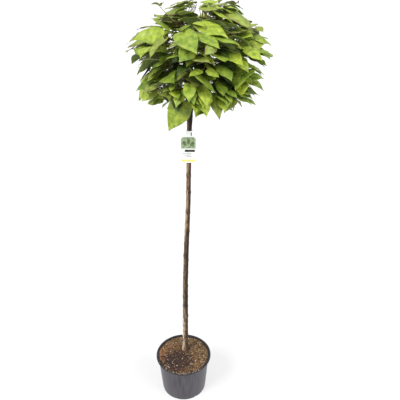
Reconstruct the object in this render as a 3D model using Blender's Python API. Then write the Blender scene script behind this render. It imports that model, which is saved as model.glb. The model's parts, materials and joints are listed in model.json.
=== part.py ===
"""A potted umbrella catalpa: a slim straight stem in a round nursery pot, with a grafted
head that carries a low dome of large heart-shaped leaves.

Units are metres, +Z is up, -Y is the front, and the origin is the middle of the pot's
underside. The pot, soil, stem, boughs, foliage masses and hang tag are separate solids.
"""

import math
import random

import bmesh
import bpy
from mathutils import Matrix, Vector
from mathutils.bvhtree import BVHTree

# Clearance that touching pieces keep from each other.
GAP = 0.0003

# Pot: a tapered injection-moulded nursery container with a flanged lip.
POT_HEIGHT = 0.210
RIM_RADIUS = 0.140
WALL_TOP_RADIUS = 0.130
FOOT_RADIUS = 0.113
WALL = 0.0018
FLOOR = 0.003
LIP_DEPTH = 0.008
POT_SIDES = 36
NOTCH_COUNT = 7
NOTCH_WIDTH = 0.013
NOTCH_HEIGHT = 0.009
NOTCH_FIRST_ANGLE = math.radians(-107.5)
FLOOR_HOLE_COUNT = 4
FLOOR_HOLE_RADIUS = 0.006
FLOOR_HOLE_RING = 0.055

# Soil: fills the pot to just under the lip.
SOIL_TOP = 0.204
SOIL_RELIEF = 0.0035
SOIL_RINGS = (0.94, 0.66, 0.33)
SOIL_FLAT_RADIUS = 0.070

# Stem: x, height and radius where its line or its taper changes. It leans back evenly.
STEM_FOOT_Y = 0.041
STEM_HEAD_Y = 0.052
STEM_STATIONS = (
    (0.0087, 0.2043, 0.0195),
    (0.0088, 0.2190, 0.0160),
    (0.0091, 0.2490, 0.0140),
    (0.0107, 0.3800, 0.0132),
    (0.0143, 0.6300, 0.0124),
    (0.0226, 0.8600, 0.0114),
    (0.0330, 1.0700, 0.0106),
    (0.0375, 1.2600, 0.0100),
    (0.0419, 1.4200, 0.0103),
    (0.0426, 1.4600, 0.0128),
    (0.0430, 1.4900, 0.0150),
    (0.0432, 1.5200, 0.0162),
    (0.0434, 1.5440, 0.0150),
    (0.0434, 1.5570, 0.0105),
)
STEM_SIDES = 14

# Crown: how far its leaf tips reach from an upright axis, by height. It is widest
# above the middle, drawn in a little under that, and its skirt flares out again.
CROWN_X = 0.087
CROWN_Y = 0.052
CROWN_OUTLINE = (
    (1.440, 0.088),
    (1.480, 0.150),
    (1.512, 0.260),
    (1.560, 0.258),
    (1.620, 0.248),
    (1.665, 0.264),
    (1.735, 0.292),
    (1.785, 0.256),
    (1.830, 0.218),
    (1.862, 0.178),
    (1.890, 0.120),
    (1.897, 0.062),
)

# The skirt's hem is higher in front than behind, and is cut away at the front corners,
# beyond a half width from the middle.
SKIRT_HEM = 1.470
SKIRT_RISE = 0.24
SKIRT_CUT = 6.0
SKIRT_HALF_WIDTH = 0.08

# Tiers of foliage masses, from the lowest up: how many, how far out and how high their
# middles are, the first one's bearing, and where on the head and how steeply their
# boughs leave. Bearings run anticlockwise from +X, seen from above.
TIERS = (
    {"name": "low", "count": 5, "out": 0.145, "height": 1.598, "bearing": 34.0,
     "foot_height": 1.508, "foot_rise": 30.0, "bough": 0.070, "foot_radius": 0.0052},
    {"name": "high", "count": 4, "out": 0.135, "height": 1.735, "bearing": 13.0,
     "foot_height": 1.534, "foot_rise": 50.0, "bough": 0.110, "foot_radius": 0.0050},
    {"name": "top", "count": 2, "out": 0.065, "height": 1.835, "bearing": 170.0,
     "foot_height": 1.549, "foot_rise": 80.0, "bough": 0.165, "foot_radius": 0.0044},
)
BOUGH_TIP_RADIUS = 0.0038
BOUGH_SIDES = 7
BOUGH_RINGS = 5

# The skirt parts in front of the stem: no leaf crosses a slot that rises to the front.
PARTING_HALF_WIDTH = 0.013
PARTING_TOP = 1.518
PARTING_RISE = 0.24

# The walls between the masses' spaces slope down outwards, as the leaves hang.
SPACE_SLOPE = 0.35
SPACE_WALL = 0.0010

# Two leaves hang below the skirt beside the stem and turn their faces to the front: the
# mass, the tip, and the heading, droop and roll in degrees of each.
LOW_LEAVES = (
    {"mass": "low_4", "tip": (-0.034, -0.095, 1.448), "heading": 195.0, "droop": 67.0,
     "roll": 55.0, "length": 0.136, "wide": 0.88, "bow": 0.35, "fold": 0.12, "arch": 0.40},
    {"mass": "low_5", "tip": (0.160, -0.056, 1.481), "heading": -60.0, "droop": 66.0,
     "roll": 0.0, "length": 0.100, "wide": 0.78, "bow": 0.55, "fold": 0.10, "arch": 0.45},
)

# Twigs: each mass has a stem that grows on from its bough, with side twigs.
STEM_TWIG_SIDES = 4
SIDE_TWIG_SIDES = 4
TWIG_TIP_RADIUS = 0.0023
TWIG_STEPS = 4
SIDE_TWIGS = 4
SIDE_TWIG_LENGTH = 0.085
JOINT_SPACING = 0.011

# Leaves: each is aimed at a place just inside the crown's outline, and its stalk runs
# back to a joint of a twig. Layers give the depth under the outline and the count. The
# droop is in degrees by height in the crown, from its lowest leaf, 0, to its top, 1. The
# spreads are in degrees, and the pairs are the least and the most of a leaf's own share.
LAYERS = (
    {"depth": (0.000, 0.036), "count": 19},
    {"depth": (0.036, 0.095), "count": 8},
)
LEAF_LENGTH = 0.113
LEAF_WIDTH_SHARE = 0.78
LEAF_THICK_SHARE = 0.018
LEAF_DROOP = ((0.0, 66.0), (0.14, 42.0), (0.33, 24.0), (0.62, 13.0), (1.0, 4.0))
DROOP_SPREAD = 12.0
HEADING_SPREAD = 23.0
ROLL_SPREAD = 18.0
LEAF_SIZES = (0.68, 1.14)
LEAF_WIDTHS = (0.74, 1.00)
LEAF_BOWS = (0.15, 0.90)
LEAF_FOLDS = (-0.05, 0.36)
LEAF_ARCHES = (0.25, 0.75)
EDGE_STEPS = (0.12, 0.40, 0.70)
RIB_STEPS = (0.28, 0.60)
STALK_RADIUS = 0.0014
STALK_TAPER = (0.75, 1.0, 0.75)
STALK_STRAIGHT = 0.4
STALK_SHORT = 0.020
STALK_LONG = 0.150
BLADE_CLEARANCE = 0.0028
TRIES = 9000
TWIG_TRIES = 60
CROWDED = 0.090

# Hang tag: a plastic plate whose neck loops round the stem.
TAG_WIDTH = 0.068
TAG_HEIGHT = 0.118
TAG_NECK_WIDTH = 0.021
TAG_NECK_HEIGHT = 0.022
TAG_THICKNESS = 0.0009
TAG_CORNER = 0.005
TAG_TOP = 1.382
TAG_ASIDE = -0.005
TAG_LOOP_BAND = 0.0075
TAG_LOOP_SIDES = 16
TAG_LOOP_CLEARANCE = 0.0006


def clear_scene():
    for obj in list(bpy.data.objects):
        bpy.data.objects.remove(obj, do_unlink=True)


def plain_material(name, colour, roughness):
    """A Principled material with one base colour, given as linear RGB."""
    material = bpy.data.materials.new(name)
    material.use_nodes = True
    shader = material.node_tree.nodes["Principled BSDF"]
    shader.inputs["Base Color"].default_value = (*colour, 1.0)
    shader.inputs["Roughness"].default_value = roughness
    shader.inputs["Metallic"].default_value = 0.0
    return material


def mesh_object(name, vertices, faces, material=None, smooth=True):
    """An object from plain lists, with its faces made to point outwards."""
    mesh = bpy.data.meshes.new(name)
    mesh.from_pydata([tuple(v) for v in vertices], [], faces)
    work = bmesh.new()
    work.from_mesh(mesh)
    bmesh.ops.recalc_face_normals(work, faces=work.faces)
    if work.calc_volume(signed=True) < 0:
        bmesh.ops.reverse_faces(work, faces=work.faces)
    work.to_mesh(mesh)
    work.free()
    if smooth:
        mesh.shade_smooth()
        mesh.set_sharp_from_angle(angle=math.radians(40))
    obj = bpy.data.objects.new(name, mesh)
    bpy.context.scene.collection.objects.link(obj)
    if material:
        mesh.materials.append(material)
    return obj


def cutter(name, vertices, faces):
    obj = mesh_object(name, vertices, faces, smooth=False)
    obj.hide_render = True
    obj.display_type = "WIRE"
    return obj


def add_boolean(obj, other, operation):
    modifier = obj.modifiers.new(f"{operation.title()} {other.name}", "BOOLEAN")
    modifier.operation = operation
    modifier.solver = "EXACT"
    modifier.object = other


def turned(profile, sides):
    """Vertices and faces of a profile of (radius, height) turned about Z. The profile
    begins and ends at the flat middle of the underside and of the top."""
    vertices, faces = [], []
    for radius, height in profile:
        for k in range(sides):
            angle = 2 * math.pi * k / sides
            vertices.append((radius * math.cos(angle), radius * math.sin(angle), height))
    for ring in range(len(profile) - 1):
        for k in range(sides):
            after = (k + 1) % sides
            low, high = ring * sides, (ring + 1) * sides
            faces.append((low + k, low + after, high + after, high + k))
    faces.append(tuple(range(sides))[::-1])
    faces.append(tuple(range((len(profile) - 1) * sides, len(profile) * sides)))
    return vertices, faces


def box_shape(size, centre, turn):
    """Vertices and faces of a box, turned about Z by an angle and then moved."""
    corners = [
        Vector((x * size[0] / 2, y * size[1] / 2, z * size[2] / 2))
        for x in (-1, 1) for y in (-1, 1) for z in (-1, 1)
    ]
    spin = Matrix.Rotation(turn, 3, "Z")
    vertices = [spin @ (corner + Vector(centre)) for corner in corners]
    faces = [(0, 1, 3, 2), (4, 6, 7, 5), (0, 4, 5, 1), (2, 3, 7, 6), (0, 2, 6, 4), (1, 5, 7, 3)]
    return vertices, faces


def wall_radius(height):
    """Outer radius of the pot's wall at a height."""
    return FOOT_RADIUS + (WALL_TOP_RADIUS - FOOT_RADIUS) * height / POT_HEIGHT


def make_pot(material):
    under_lip = POT_HEIGHT - LIP_DEPTH
    profile = (
        (0.070, 0.0),
        (FOOT_RADIUS - 0.003, 0.0),
        (FOOT_RADIUS, 0.004),
        (wall_radius(under_lip), under_lip),
        (RIM_RADIUS - 0.001, under_lip),
        (RIM_RADIUS, under_lip + 0.001),
        (RIM_RADIUS, POT_HEIGHT - 0.002),
        (RIM_RADIUS - 0.002, POT_HEIGHT),
        (WALL_TOP_RADIUS - WALL + 0.001, POT_HEIGHT),
        (WALL_TOP_RADIUS - WALL, POT_HEIGHT - 0.001),
        (wall_radius(FLOOR) - WALL, FLOOR),
        (0.070, FLOOR),
    )
    pot = mesh_object("pot", *turned(profile, POT_SIDES), material)
    for k in range(NOTCH_COUNT):
        angle = NOTCH_FIRST_ANGLE + 2 * math.pi * k / NOTCH_COUNT
        size = (0.024, NOTCH_WIDTH, 2 * NOTCH_HEIGHT)
        notch = cutter(f"drain_notch_cutter_{k + 1}",
                       *box_shape(size, (FOOT_RADIUS + 0.004, 0.0, 0.0), angle))
        add_boolean(pot, notch, "DIFFERENCE")
    for k in range(FLOOR_HOLE_COUNT):
        angle = 2 * math.pi * (k + 0.5) / FLOOR_HOLE_COUNT
        rings = ((FLOOR_HOLE_RADIUS, -0.01), (FLOOR_HOLE_RADIUS, 0.01))
        vertices, faces = turned(rings, 12)
        middle = Vector((FLOOR_HOLE_RING * math.cos(angle), FLOOR_HOLE_RING * math.sin(angle), 0))
        hole = cutter(f"drain_hole_cutter_{k + 1}", [Vector(v) + middle for v in vertices], faces)
        add_boolean(pot, hole, "DIFFERENCE")


def soil_height(x, y):
    """Top of the soil: level round the stem, and gently uneven further out."""
    stem_x, _, _ = STEM_STATIONS[0]
    away = math.hypot(x - stem_x, y - STEM_FOOT_Y)
    share = min(1.0, max(0.0, (away - SOIL_FLAT_RADIUS) / 0.04))
    swell = math.sin(x * 47 + 1.0) * math.cos(y * 39 - 0.5)
    return SOIL_TOP + SOIL_RELIEF * swell * share


def make_soil(material):
    bottom, top = FLOOR + GAP, SOIL_TOP - 0.003
    inner = wall_radius(top) - WALL - 2 * GAP
    profile = [(0.070, bottom), (wall_radius(bottom) - WALL - 2 * GAP, bottom), (inner, top)]
    profile += [(inner * share, SOIL_TOP) for share in SOIL_RINGS]
    vertices, faces = turned(profile, POT_SIDES)
    first_top = 3 * POT_SIDES
    shaped = [
        (x, y, soil_height(x, y)) if n >= first_top else (x, y, z)
        for n, (x, y, z) in enumerate(vertices)
    ]
    faces.pop()
    centre = len(shaped)
    shaped.append((0.0, 0.0, soil_height(0.0, 0.0)))
    last = (len(profile) - 1) * POT_SIDES
    for k in range(POT_SIDES):
        faces.append((last + k, last + (k + 1) % POT_SIDES, centre))
    mesh_object("soil", shaped, faces, material)


def tube_shape(points, radii, sides, side=None):
    """Vertices and faces of a round tapering limb along points, with flat ends. Its
    corners begin on the given side, and the faces run from its first end to its last."""
    points = [Vector(p) for p in points]
    count = len(points)
    vertices, faces = [], []
    for n, (point, radius) in enumerate(zip(points, radii)):
        along = (points[min(n + 1, count - 1)] - points[max(n - 1, 0)]).normalized()
        if side is None:
            side = along.orthogonal()
        side = (side - along * side.dot(along)).normalized()
        across = along.cross(side)
        for k in range(sides):
            angle = 2 * math.pi * k / sides
            vertices.append(point + radius * (math.cos(angle) * side + math.sin(angle) * across))
    for ring in range(count - 1):
        for k in range(sides):
            after = (k + 1) % sides
            low, high = ring * sides, (ring + 1) * sides
            faces.append((low + k, low + after, high + after, high + k))
    faces.append(tuple(range(sides))[::-1])
    faces.append(tuple(range((count - 1) * sides, count * sides)))
    return vertices, faces


def stem_y(height):
    """How far back the stem stands at a height."""
    foot, head = STEM_STATIONS[0][1], STEM_STATIONS[-1][1]
    return STEM_FOOT_Y + (STEM_HEAD_Y - STEM_FOOT_Y) * (height - foot) / (head - foot)


def stem_line():
    """Points and radii along the stem."""
    points = [Vector((x, stem_y(height), height)) for x, height, _ in STEM_STATIONS]
    return points, [radius for _, _, radius in STEM_STATIONS]


def stem_at(height):
    """Middle and radius of the stem at a height."""
    for lower, upper in zip(STEM_STATIONS, STEM_STATIONS[1:]):
        if height <= upper[1]:
            t = (height - lower[1]) / (upper[1] - lower[1])
            x = lower[0] + (upper[0] - lower[0]) * t
            return Vector((x, stem_y(height), height)), lower[2] + (upper[2] - lower[2]) * t
    x, _, radius = STEM_STATIONS[-1]
    return Vector((x, stem_y(height), height)), radius


def level_tube(points, radii, sides):
    """A tube whose rings stay level, so that its ends are cut flat across Z."""
    vertices, faces = tube_shape(points, radii, sides)
    level = []
    for n, (point, radius) in enumerate(zip(points, radii)):
        for k in range(sides):
            angle = 2 * math.pi * k / sides
            level.append(point + radius * Vector((math.cos(angle), math.sin(angle), 0)))
    return level, faces


def direction(bearing, rise):
    """Unit vector at a bearing about Z and a rise above level, in radians."""
    return Vector((math.cos(bearing) * math.cos(rise), math.sin(bearing) * math.cos(rise),
                   math.sin(rise)))


def plan_masses():
    """Every foliage mass: its name, its middle, and the line of the bough under it."""
    masses = []
    for tier in TIERS:
        for k in range(tier["count"]):
            bearing = math.radians(tier["bearing"]) + 2 * math.pi * k / tier["count"]
            name = tier["name"] if tier["count"] == 1 else f"{tier['name']}_{k + 1}"
            rng = random.Random(f"place {name}")
            out = tier["out"] * rng.uniform(0.94, 1.06)
            middle = Vector((CROWN_X + out * math.cos(bearing), CROWN_Y + out * math.sin(bearing),
                             tier["height"] + rng.uniform(-0.012, 0.012)))
            axis, radius = stem_at(tier["foot_height"])
            flat = Vector((middle.x - axis.x, middle.y - axis.y, 0))
            leave = math.atan2(flat.y, flat.x) if tier["name"] != "top" else bearing
            rise = math.radians(tier["foot_rise"])
            outward = direction(leave, rise)
            seat = max(0.6 * radius * math.cos(rise), 1.3 * tier["foot_radius"])
            foot = axis + Vector((seat * math.cos(leave), seat * math.sin(leave), 0))
            run = (middle - foot).normalized()
            tip = foot + (radius + tier["bough"]) * (0.5 * outward + 0.5 * run).normalized()
            bend = foot + 0.5 * (radius + tier["bough"]) * outward
            line = [foot.lerp(bend, t).lerp(bend.lerp(tip, t), t)
                    for t in (n / (BOUGH_RINGS - 1) for n in range(BOUGH_RINGS))]
            masses.append({"name": name, "middle": middle, "bough": line,
                           "foot_radius": tier["foot_radius"], "seed": f"leaves {name}"})
    return masses


def bough_radii(mass):
    count = len(mass["bough"])
    return [mass["foot_radius"] + (BOUGH_TIP_RADIUS - mass["foot_radius"]) * n / (count - 1)
            for n in range(count)]


def make_boughs(masses, material):
    """One tapering limb to a mass, its foot cut to the head of the stem."""
    points, radii = stem_line()
    around_head = level_tube([p + Vector((0, 0, GAP)) for p in points],
                             [r + GAP for r in radii], STEM_SIDES)
    head = cutter("head_cutter", *around_head)
    for mass in masses:
        shape = tube_shape(mass["bough"], bough_radii(mass), BOUGH_SIDES)
        bough = mesh_object(f"bough_{mass['name']}", *shape, material)
        add_boolean(bough, head, "DIFFERENCE")


def between(stations, at):
    """The value at a place between rows of (place, value), and 0 beyond them."""
    for (low, near), (high, far) in zip(stations, stations[1:]):
        if low <= at <= high:
            return near + (far - near) * (at - low) / (high - low)
    return 0.0


def off_axis(point):
    return math.hypot(point.x - CROWN_X, point.y - CROWN_Y)


def in_crown(point):
    front, aside = CROWN_Y - point.y, abs(point.x - CROWN_X)
    corner = max(0.0, front) * max(0.0, aside - SKIRT_HALF_WIDTH)
    hem = SKIRT_HEM + SKIRT_RISE * front + SKIRT_CUT * corner
    return point.z > hem and off_axis(point) < between(CROWN_OUTLINE, point.z)


def crown_depth(point):
    """How far under the crown's outline a point inside it lies."""
    here = Vector((off_axis(point), point.z))
    profile = [Vector((radius, height)) for height, radius in CROWN_OUTLINE]
    profile = [Vector((0, profile[0].y))] + profile + [Vector((0, profile[-1].y))]
    depths = []
    for a, b in zip(profile, profile[1:]):
        t = min(1.0, max(0.0, (here - a).dot(b - a) / (b - a).length_squared))
        depths.append((here - a.lerp(b, t)).length)
    return min(depths)


def sloped(point):
    """A point of the space in which the walls between masses are plane."""
    return Vector((point.x, point.y, point.z + SPACE_SLOPE * off_axis(point)))


def in_own_space(points, mass):
    """A mass's space is what lies nearer to its middle than to any other mass's."""
    moved = [sloped(point) for point in points]
    return not any((point - wall).dot(normal) > -SPACE_WALL
                   for wall, normal in mass["walls"] for point in moved)


def add_walls(masses):
    """Each mass's walls: a point on each, and the way that leads out of its space."""
    middles = [sloped(mass["middle"]) for mass in masses]
    for mass, middle in zip(masses, middles):
        others = [other for other in middles if other is not middle]
        mass["walls"] = [((middle + other) / 2, (other - middle).normalized())
                         for other in others]


def leaf_outline(t):
    """Right edge of a heart-shaped blade of length 1: x and y from its notch, t 0, to
    its drawn-out tip, t 1."""
    forward = t ** 1.2 - 0.25 * math.sin(2 * math.pi * t) * (1 - t) ** 2
    swell = math.sin(math.pi * t) ** 0.75 * (1 - 0.62 * t) * (1 - 0.6 * t ** 6) / 0.722
    return 0.5 * LEAF_WIDTH_SHARE * swell, forward


def bowed(leaf, x, y):
    """A point of the blade before it is turned and moved, for a blade of length 1. The
    blade bows down along its midrib, and folds up and arches down to its sides."""
    turn = leaf["bow"] * y
    x *= leaf["wide"]
    side = leaf["fold"] * abs(x) - leaf["arch"] * x * x
    along = math.sin(turn) / leaf["bow"] + side * math.sin(turn)
    up = (math.cos(turn) - 1) / leaf["bow"] + side * math.cos(turn)
    return Vector((x, along, up))


def leaf_point(leaf, x, y):
    return leaf["base"] + leaf["length"] * (leaf["frame"] @ bowed(leaf, x, y))


def blade_shape(leaf, thick):
    """A blade as a thin lens: one edge, and a midrib that is thick above and below."""
    up = leaf["frame"] @ Vector((0, 0, thick / 2))
    right = [leaf_outline(t) for t in EDGE_STEPS]
    outline = [(0.0, 0.0)] + right + [(0.0, 1.0)] + [(-x, y) for x, y in reversed(right)]
    vertices = [leaf_point(leaf, x, y) for x, y in outline]
    above = [leaf_point(leaf, 0, y) + up for y in RIB_STEPS]
    below = [leaf_point(leaf, 0, y) - up for y in RIB_STEPS]
    near, far = len(outline), len(outline) + 1
    top = [(0, near, 1), (1, near, 2), (2, near, far), (2, far, 3), (3, far, 4),
           (4, far, 5), (5, far, 6), (6, far, near), (6, near, 7), (7, near, 0)]
    down = {near: near + 2, far: far + 2}
    bottom = [tuple(down.get(n, n) for n in reversed(face)) for face in top]
    return vertices + above + below, top + bottom


def stalk_line(leaf):
    """Three points of a leaf's stalk, from its blade's notch back to the middle of its
    twig. It leaves the blade in line with the midrib."""
    back = (leaf["base"] - leaf["joint"]).length * STALK_STRAIGHT
    bend = leaf["base"] - back * (leaf["frame"] @ Vector((0, 1, 0)))
    return [leaf["base"], bend, leaf["joint"]]


def leaf_shape(leaf):
    """A blade and its stalk as one closed shape: the stalk's three corners take the
    place of the blade's notch, one of them above and two below."""
    blade, faces = blade_shape(leaf, LEAF_THICK_SHARE * leaf["length"])
    radii = [STALK_RADIUS * share for share in STALK_TAPER]
    face_up = leaf["frame"] @ Vector((0, 0, 1))
    stalk, stalk_faces = tube_shape(stalk_line(leaf), radii, 3, face_up)
    first = len(blade) - 1
    left_low, right_low = first + 1, first + 2
    if (stalk[1] - stalk[2]).dot(leaf["frame"] @ Vector((1, 0, 0))) > 0:
        left_low, right_low = right_low, left_low
    last = 2 * len(EDGE_STEPS) + 1
    below = len(blade) - 3
    joined = []
    for face in faces:
        moved = [n - 1 for n in face]
        if -1 in moved and below not in moved:
            joined.append([first if n < 0 else n for n in moved])
    joined += [[n - 1 for n in face] for face in faces if 0 not in face]
    joined += [[right_low, 0, below], [left_low, below, last - 1], [right_low, below, left_low]]
    joined += [[first, 0, right_low], [first, left_low, last - 1]]
    joined += [[n + first for n in face] for face in stalk_faces if tuple(face) != (2, 1, 0)]
    return blade[1:] + stalk, joined


def blade_frame(heading, droop, roll):
    """Axes of a blade as columns: its right side, its way to the tip, and its face."""
    along = direction(heading, -droop)
    face = direction(heading, math.pi / 2 - droop)
    side = along.cross(face)
    turned_face = face * math.cos(roll) - side * math.sin(roll)
    return Matrix((along.cross(turned_face), along, turned_face)).transposed()


def nearest_joint(leaf, joints):
    """The nearest joint that a leaf's stalk can reach without turning back, or None."""
    way = leaf["frame"] @ Vector((0, 1, 0))
    fits = [joint for joint in joints
            if STALK_SHORT < (leaf["base"] - joint).length < STALK_LONG
            and (leaf["base"] - joint).normalized().dot(way) > -0.2]
    return min(fits, key=lambda joint: (leaf["base"] - joint).length, default=None)


def low_leaf(given, joints):
    """A leaf that hangs below the skirt, beside the stem."""
    leaf = dict(given)
    heading, droop, roll = (math.radians(leaf[key]) for key in ("heading", "droop", "roll"))
    leaf["frame"] = blade_frame(heading, droop - leaf["bow"] / 2, roll)
    leaf["base"] = Vector(leaf["tip"]) - leaf["length"] * (leaf["frame"] @ bowed(leaf, 0, 1))
    leaf["joint"] = nearest_joint(leaf, joints)
    return leaf


def draw_leaf(rng, mass, joints, layer):
    """One try at a leaf: a place for its tip, how its blade hangs there, and the joint
    that its stalk comes from. Blades lie flatter the higher they are."""
    tip = mass["middle"] + Vector((rng.uniform(-0.20, 0.20), rng.uniform(-0.20, 0.20),
                                   rng.uniform(-0.17, 0.13)))
    if not in_crown(tip) or not in_own_space([tip], mass):
        return None
    if not layer["depth"][0] < crown_depth(tip) < layer["depth"][1]:
        return None
    low, high = CROWN_OUTLINE[0][0], CROWN_OUTLINE[-1][0]
    hang = between(LEAF_DROOP, (tip.z - low) / (high - low))
    bow = rng.uniform(*LEAF_BOWS)
    droop = math.radians(hang + rng.gauss(0, DROOP_SPREAD)) - bow / 2
    outward = math.atan2(tip.y - CROWN_Y, tip.x - CROWN_X)
    heading = outward + math.radians(rng.gauss(0, HEADING_SPREAD))
    roll = math.radians(rng.gauss(0, ROLL_SPREAD))
    leaf = {"frame": blade_frame(heading, droop, roll), "bow": bow,
            "length": LEAF_LENGTH * rng.uniform(*LEAF_SIZES), "wide": rng.uniform(*LEAF_WIDTHS),
            "fold": rng.uniform(*LEAF_FOLDS), "arch": rng.uniform(*LEAF_ARCHES)}
    leaf["base"] = tip - leaf["length"] * (leaf["frame"] @ bowed(leaf, 0, 1))
    if not in_crown(leaf["base"]) or not in_own_space([leaf["base"]], mass):
        return None
    leaf["joint"] = nearest_joint(leaf, joints)
    return leaf if leaf["joint"] else None


def tree_of(vertices, faces):
    return BVHTree.FromPolygons([Vector(v) for v in vertices], faces)


def touches(tree, others):
    return any(tree.overlap(other) for other in others)


def twig_tree(twig, clearance=0.0):
    radii = [radius + clearance for radius in twig["radii"]]
    return tree_of(*tube_shape(twig["line"], radii, twig["sides"]))


def stem_twig(mass):
    """The stem of a mass: it grows on from its bough and bends to the mass's middle."""
    foot, before = mass["bough"][-1], mass["bough"][-2]
    onward = (foot - before).normalized()
    line = [foot + onward * GAP]
    reach = (mass["middle"] - foot).length + 0.02
    for n in range(TWIG_STEPS):
        aim = (mass["middle"] - line[-1]).normalized()
        lean = onward.lerp(aim, n / (TWIG_STEPS - 1)).normalized()
        line.append(line[-1] + lean * reach / TWIG_STEPS)
    radii = [BOUGH_TIP_RADIUS + (TWIG_TIP_RADIUS - BOUGH_TIP_RADIUS) * n / TWIG_STEPS
             for n in range(TWIG_STEPS + 1)]
    return {"line": line, "radii": radii, "sides": STEM_TWIG_SIDES}


def side_twig(rng, stem, mass, limbs, ends):
    """A side twig: of several tries, the one whose end is furthest from other ends."""
    best, best_room = None, 0.0
    for _ in range(TWIG_TRIES):
        at = rng.uniform(0.4, 0.95) * TWIG_STEPS
        span = int(at)
        root = stem["line"][span].lerp(stem["line"][span + 1], at - span)
        way = direction(rng.uniform(0, 2 * math.pi), math.radians(rng.uniform(-35, 55)))
        length = SIDE_TWIG_LENGTH * rng.uniform(0.7, 1.1)
        end = root + way * length + Vector((0, 0, 0.10 * length))
        line = [root, root + way * length * 0.5, end]
        radii = [TWIG_TIP_RADIUS * 1.2, TWIG_TIP_RADIUS * 1.1, TWIG_TIP_RADIUS]
        twig = {"line": line, "radii": radii, "sides": SIDE_TWIG_SIDES}
        room = min((end - other).length for other in ends)
        if room < best_room or not in_crown(end) or crown_depth(end) < 0.03:
            continue
        if not in_own_space(line, mass) or touches(twig_tree(twig, 0.003), limbs):
            continue
        best, best_room = twig, room
    return best


def joints_of(twig):
    """Points along a twig where leaves can stand."""
    found = []
    for a, b in zip(twig["line"], twig["line"][1:]):
        count = max(1, round((b - a).length / JOINT_SPACING))
        found += [a.lerp(b, (n + 0.7) / count) for n in range(count)]
    return found


def leaf_trees(leaf):
    """A leaf's blade and its stalk, for the test of what touches them."""
    blade = tree_of(*blade_shape(leaf, BLADE_CLEARANCE))
    return blade, tree_of(*tube_shape(stalk_line(leaf), [STALK_RADIUS] * 3, 3))


def grow_leaves(mass, limbs, middles):
    """Twigs and leaves of one mass. Of several tries at a leaf, those that leave the
    mass's space or the crown, or touch a limb or another leaf, are passed over, and the
    one that stands most in the open is kept."""
    rng = random.Random(mass["seed"])
    twigs = [stem_twig(mass)]
    for _ in range(SIDE_TWIGS):
        ends = [twig["line"][-1] for twig in twigs]
        twig = side_twig(rng, twigs[0], mass, limbs, ends)
        if twig:
            twigs.append(twig)
    twig_trees = [twig_tree(twig) for twig in twigs]
    joints = [joint for twig in twigs for joint in joints_of(twig)]
    leaves, solid = [], []

    def keep(leaf):
        leaves.append(leaf)
        solid.extend(leaf_trees(leaf))
        middles.append(leaf_point(leaf, 0, 0.4))
        joints.remove(leaf["joint"])

    for given in LOW_LEAVES:
        if given["mass"] == mass["name"]:
            keep(low_leaf(given, joints))
    for layer in LAYERS:
        for _ in range(layer["count"]):
            best, best_score = None, 0.0
            for _ in range(TRIES):
                leaf = draw_leaf(rng, mass, joints, layer)
                if leaf is None:
                    continue
                middle = leaf_point(leaf, 0, 0.4)
                score = min([(middle - m).length for m in middles] + [CROWDED])
                if score <= best_score:
                    continue
                vertices, _ = blade_shape(leaf, BLADE_CLEARANCE)
                stalk = stalk_line(leaf)
                if not all(in_crown(v) for v in vertices):
                    continue
                if not in_own_space(vertices + stalk[1:2], mass):
                    continue
                blade, rod = leaf_trees(leaf)
                elbow = tree_of(*tube_shape(stalk[1:], [STALK_RADIUS * 1.5] * 2, 4))
                if touches(blade, limbs + solid + twig_trees + [elbow]):
                    continue
                if touches(rod, limbs + solid):
                    continue
                best, best_score = leaf, score
            if best:
                keep(best)
    return twigs, leaves


def drop_loose(mesh):
    """Keep the mesh's largest body, without any leaf that the union left loose or any
    hollow that it sealed."""
    work = bmesh.new()
    work.from_mesh(mesh)
    bodies, seen = [], set()
    for start in work.faces:
        if start in seen:
            continue
        seen.add(start)
        body = [start]
        for face in body:
            for edge in face.edges:
                for other in edge.link_faces:
                    if other not in seen:
                        seen.add(other)
                        body.append(other)
        bodies.append(body)
    bodies.sort(key=len)
    for body in bodies[:-1]:
        bmesh.ops.delete(work, geom=body, context="FACES")
    work.to_mesh(mesh)
    work.free()


def united(name, shapes, material):
    """One closed object from overlapping shapes, by a single Boolean on a collection.
    The manifold solver is the one that joins hundreds of crossing leaves cleanly."""
    first, *others = shapes
    body = mesh_object(name, *first, material)
    group = bpy.data.collections.new(f"{name} pieces")
    bpy.context.scene.collection.children.link(group)
    for n, shape in enumerate(others):
        piece = mesh_object(f"{name}_piece_{n}", *shape)
        bpy.context.scene.collection.objects.unlink(piece)
        group.objects.link(piece)
    modifier = body.modifiers.new("Join", "BOOLEAN")
    modifier.operation = "UNION"
    modifier.operand_type = "COLLECTION"
    modifier.collection = group
    modifier.solver = "MANIFOLD"
    graph = bpy.context.evaluated_depsgraph_get()
    joined = bpy.data.meshes.new_from_object(body.evaluated_get(graph))
    body.modifiers.clear()
    drop_loose(joined)
    body.data = joined
    for piece in list(group.objects):
        bpy.data.objects.remove(piece, do_unlink=True)
    bpy.data.collections.remove(group)
    return body


def parting_tree():
    """The slot in front of the stem as a closed wedge."""
    middle, _ = stem_at(PARTING_TOP)
    front, back, low = middle.y - 0.35, middle.y, STEM_STATIONS[0][1]
    high = PARTING_TOP + PARTING_RISE * (back - front)
    sides = [(front, low), (front, high), (back, PARTING_TOP), (back, low)]
    vertices = [Vector((middle.x + way * PARTING_HALF_WIDTH, y, z))
                for way in (-1, 1) for y, z in sides]
    faces = [(0, 1, 2, 3), (7, 6, 5, 4), (0, 4, 5, 1), (1, 5, 6, 2), (2, 6, 7, 3), (3, 7, 4, 0)]
    return tree_of(vertices, faces)


def make_foliage(mass, limbs, middles, material):
    twigs, leaves = grow_leaves(mass, limbs, middles)
    shapes = [tube_shape(twig["line"], twig["radii"], twig["sides"]) for twig in twigs]
    shapes += [leaf_shape(leaf) for leaf in leaves]
    united(f"foliage_{mass['name']}", shapes, material)
    return len(leaves)


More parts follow.
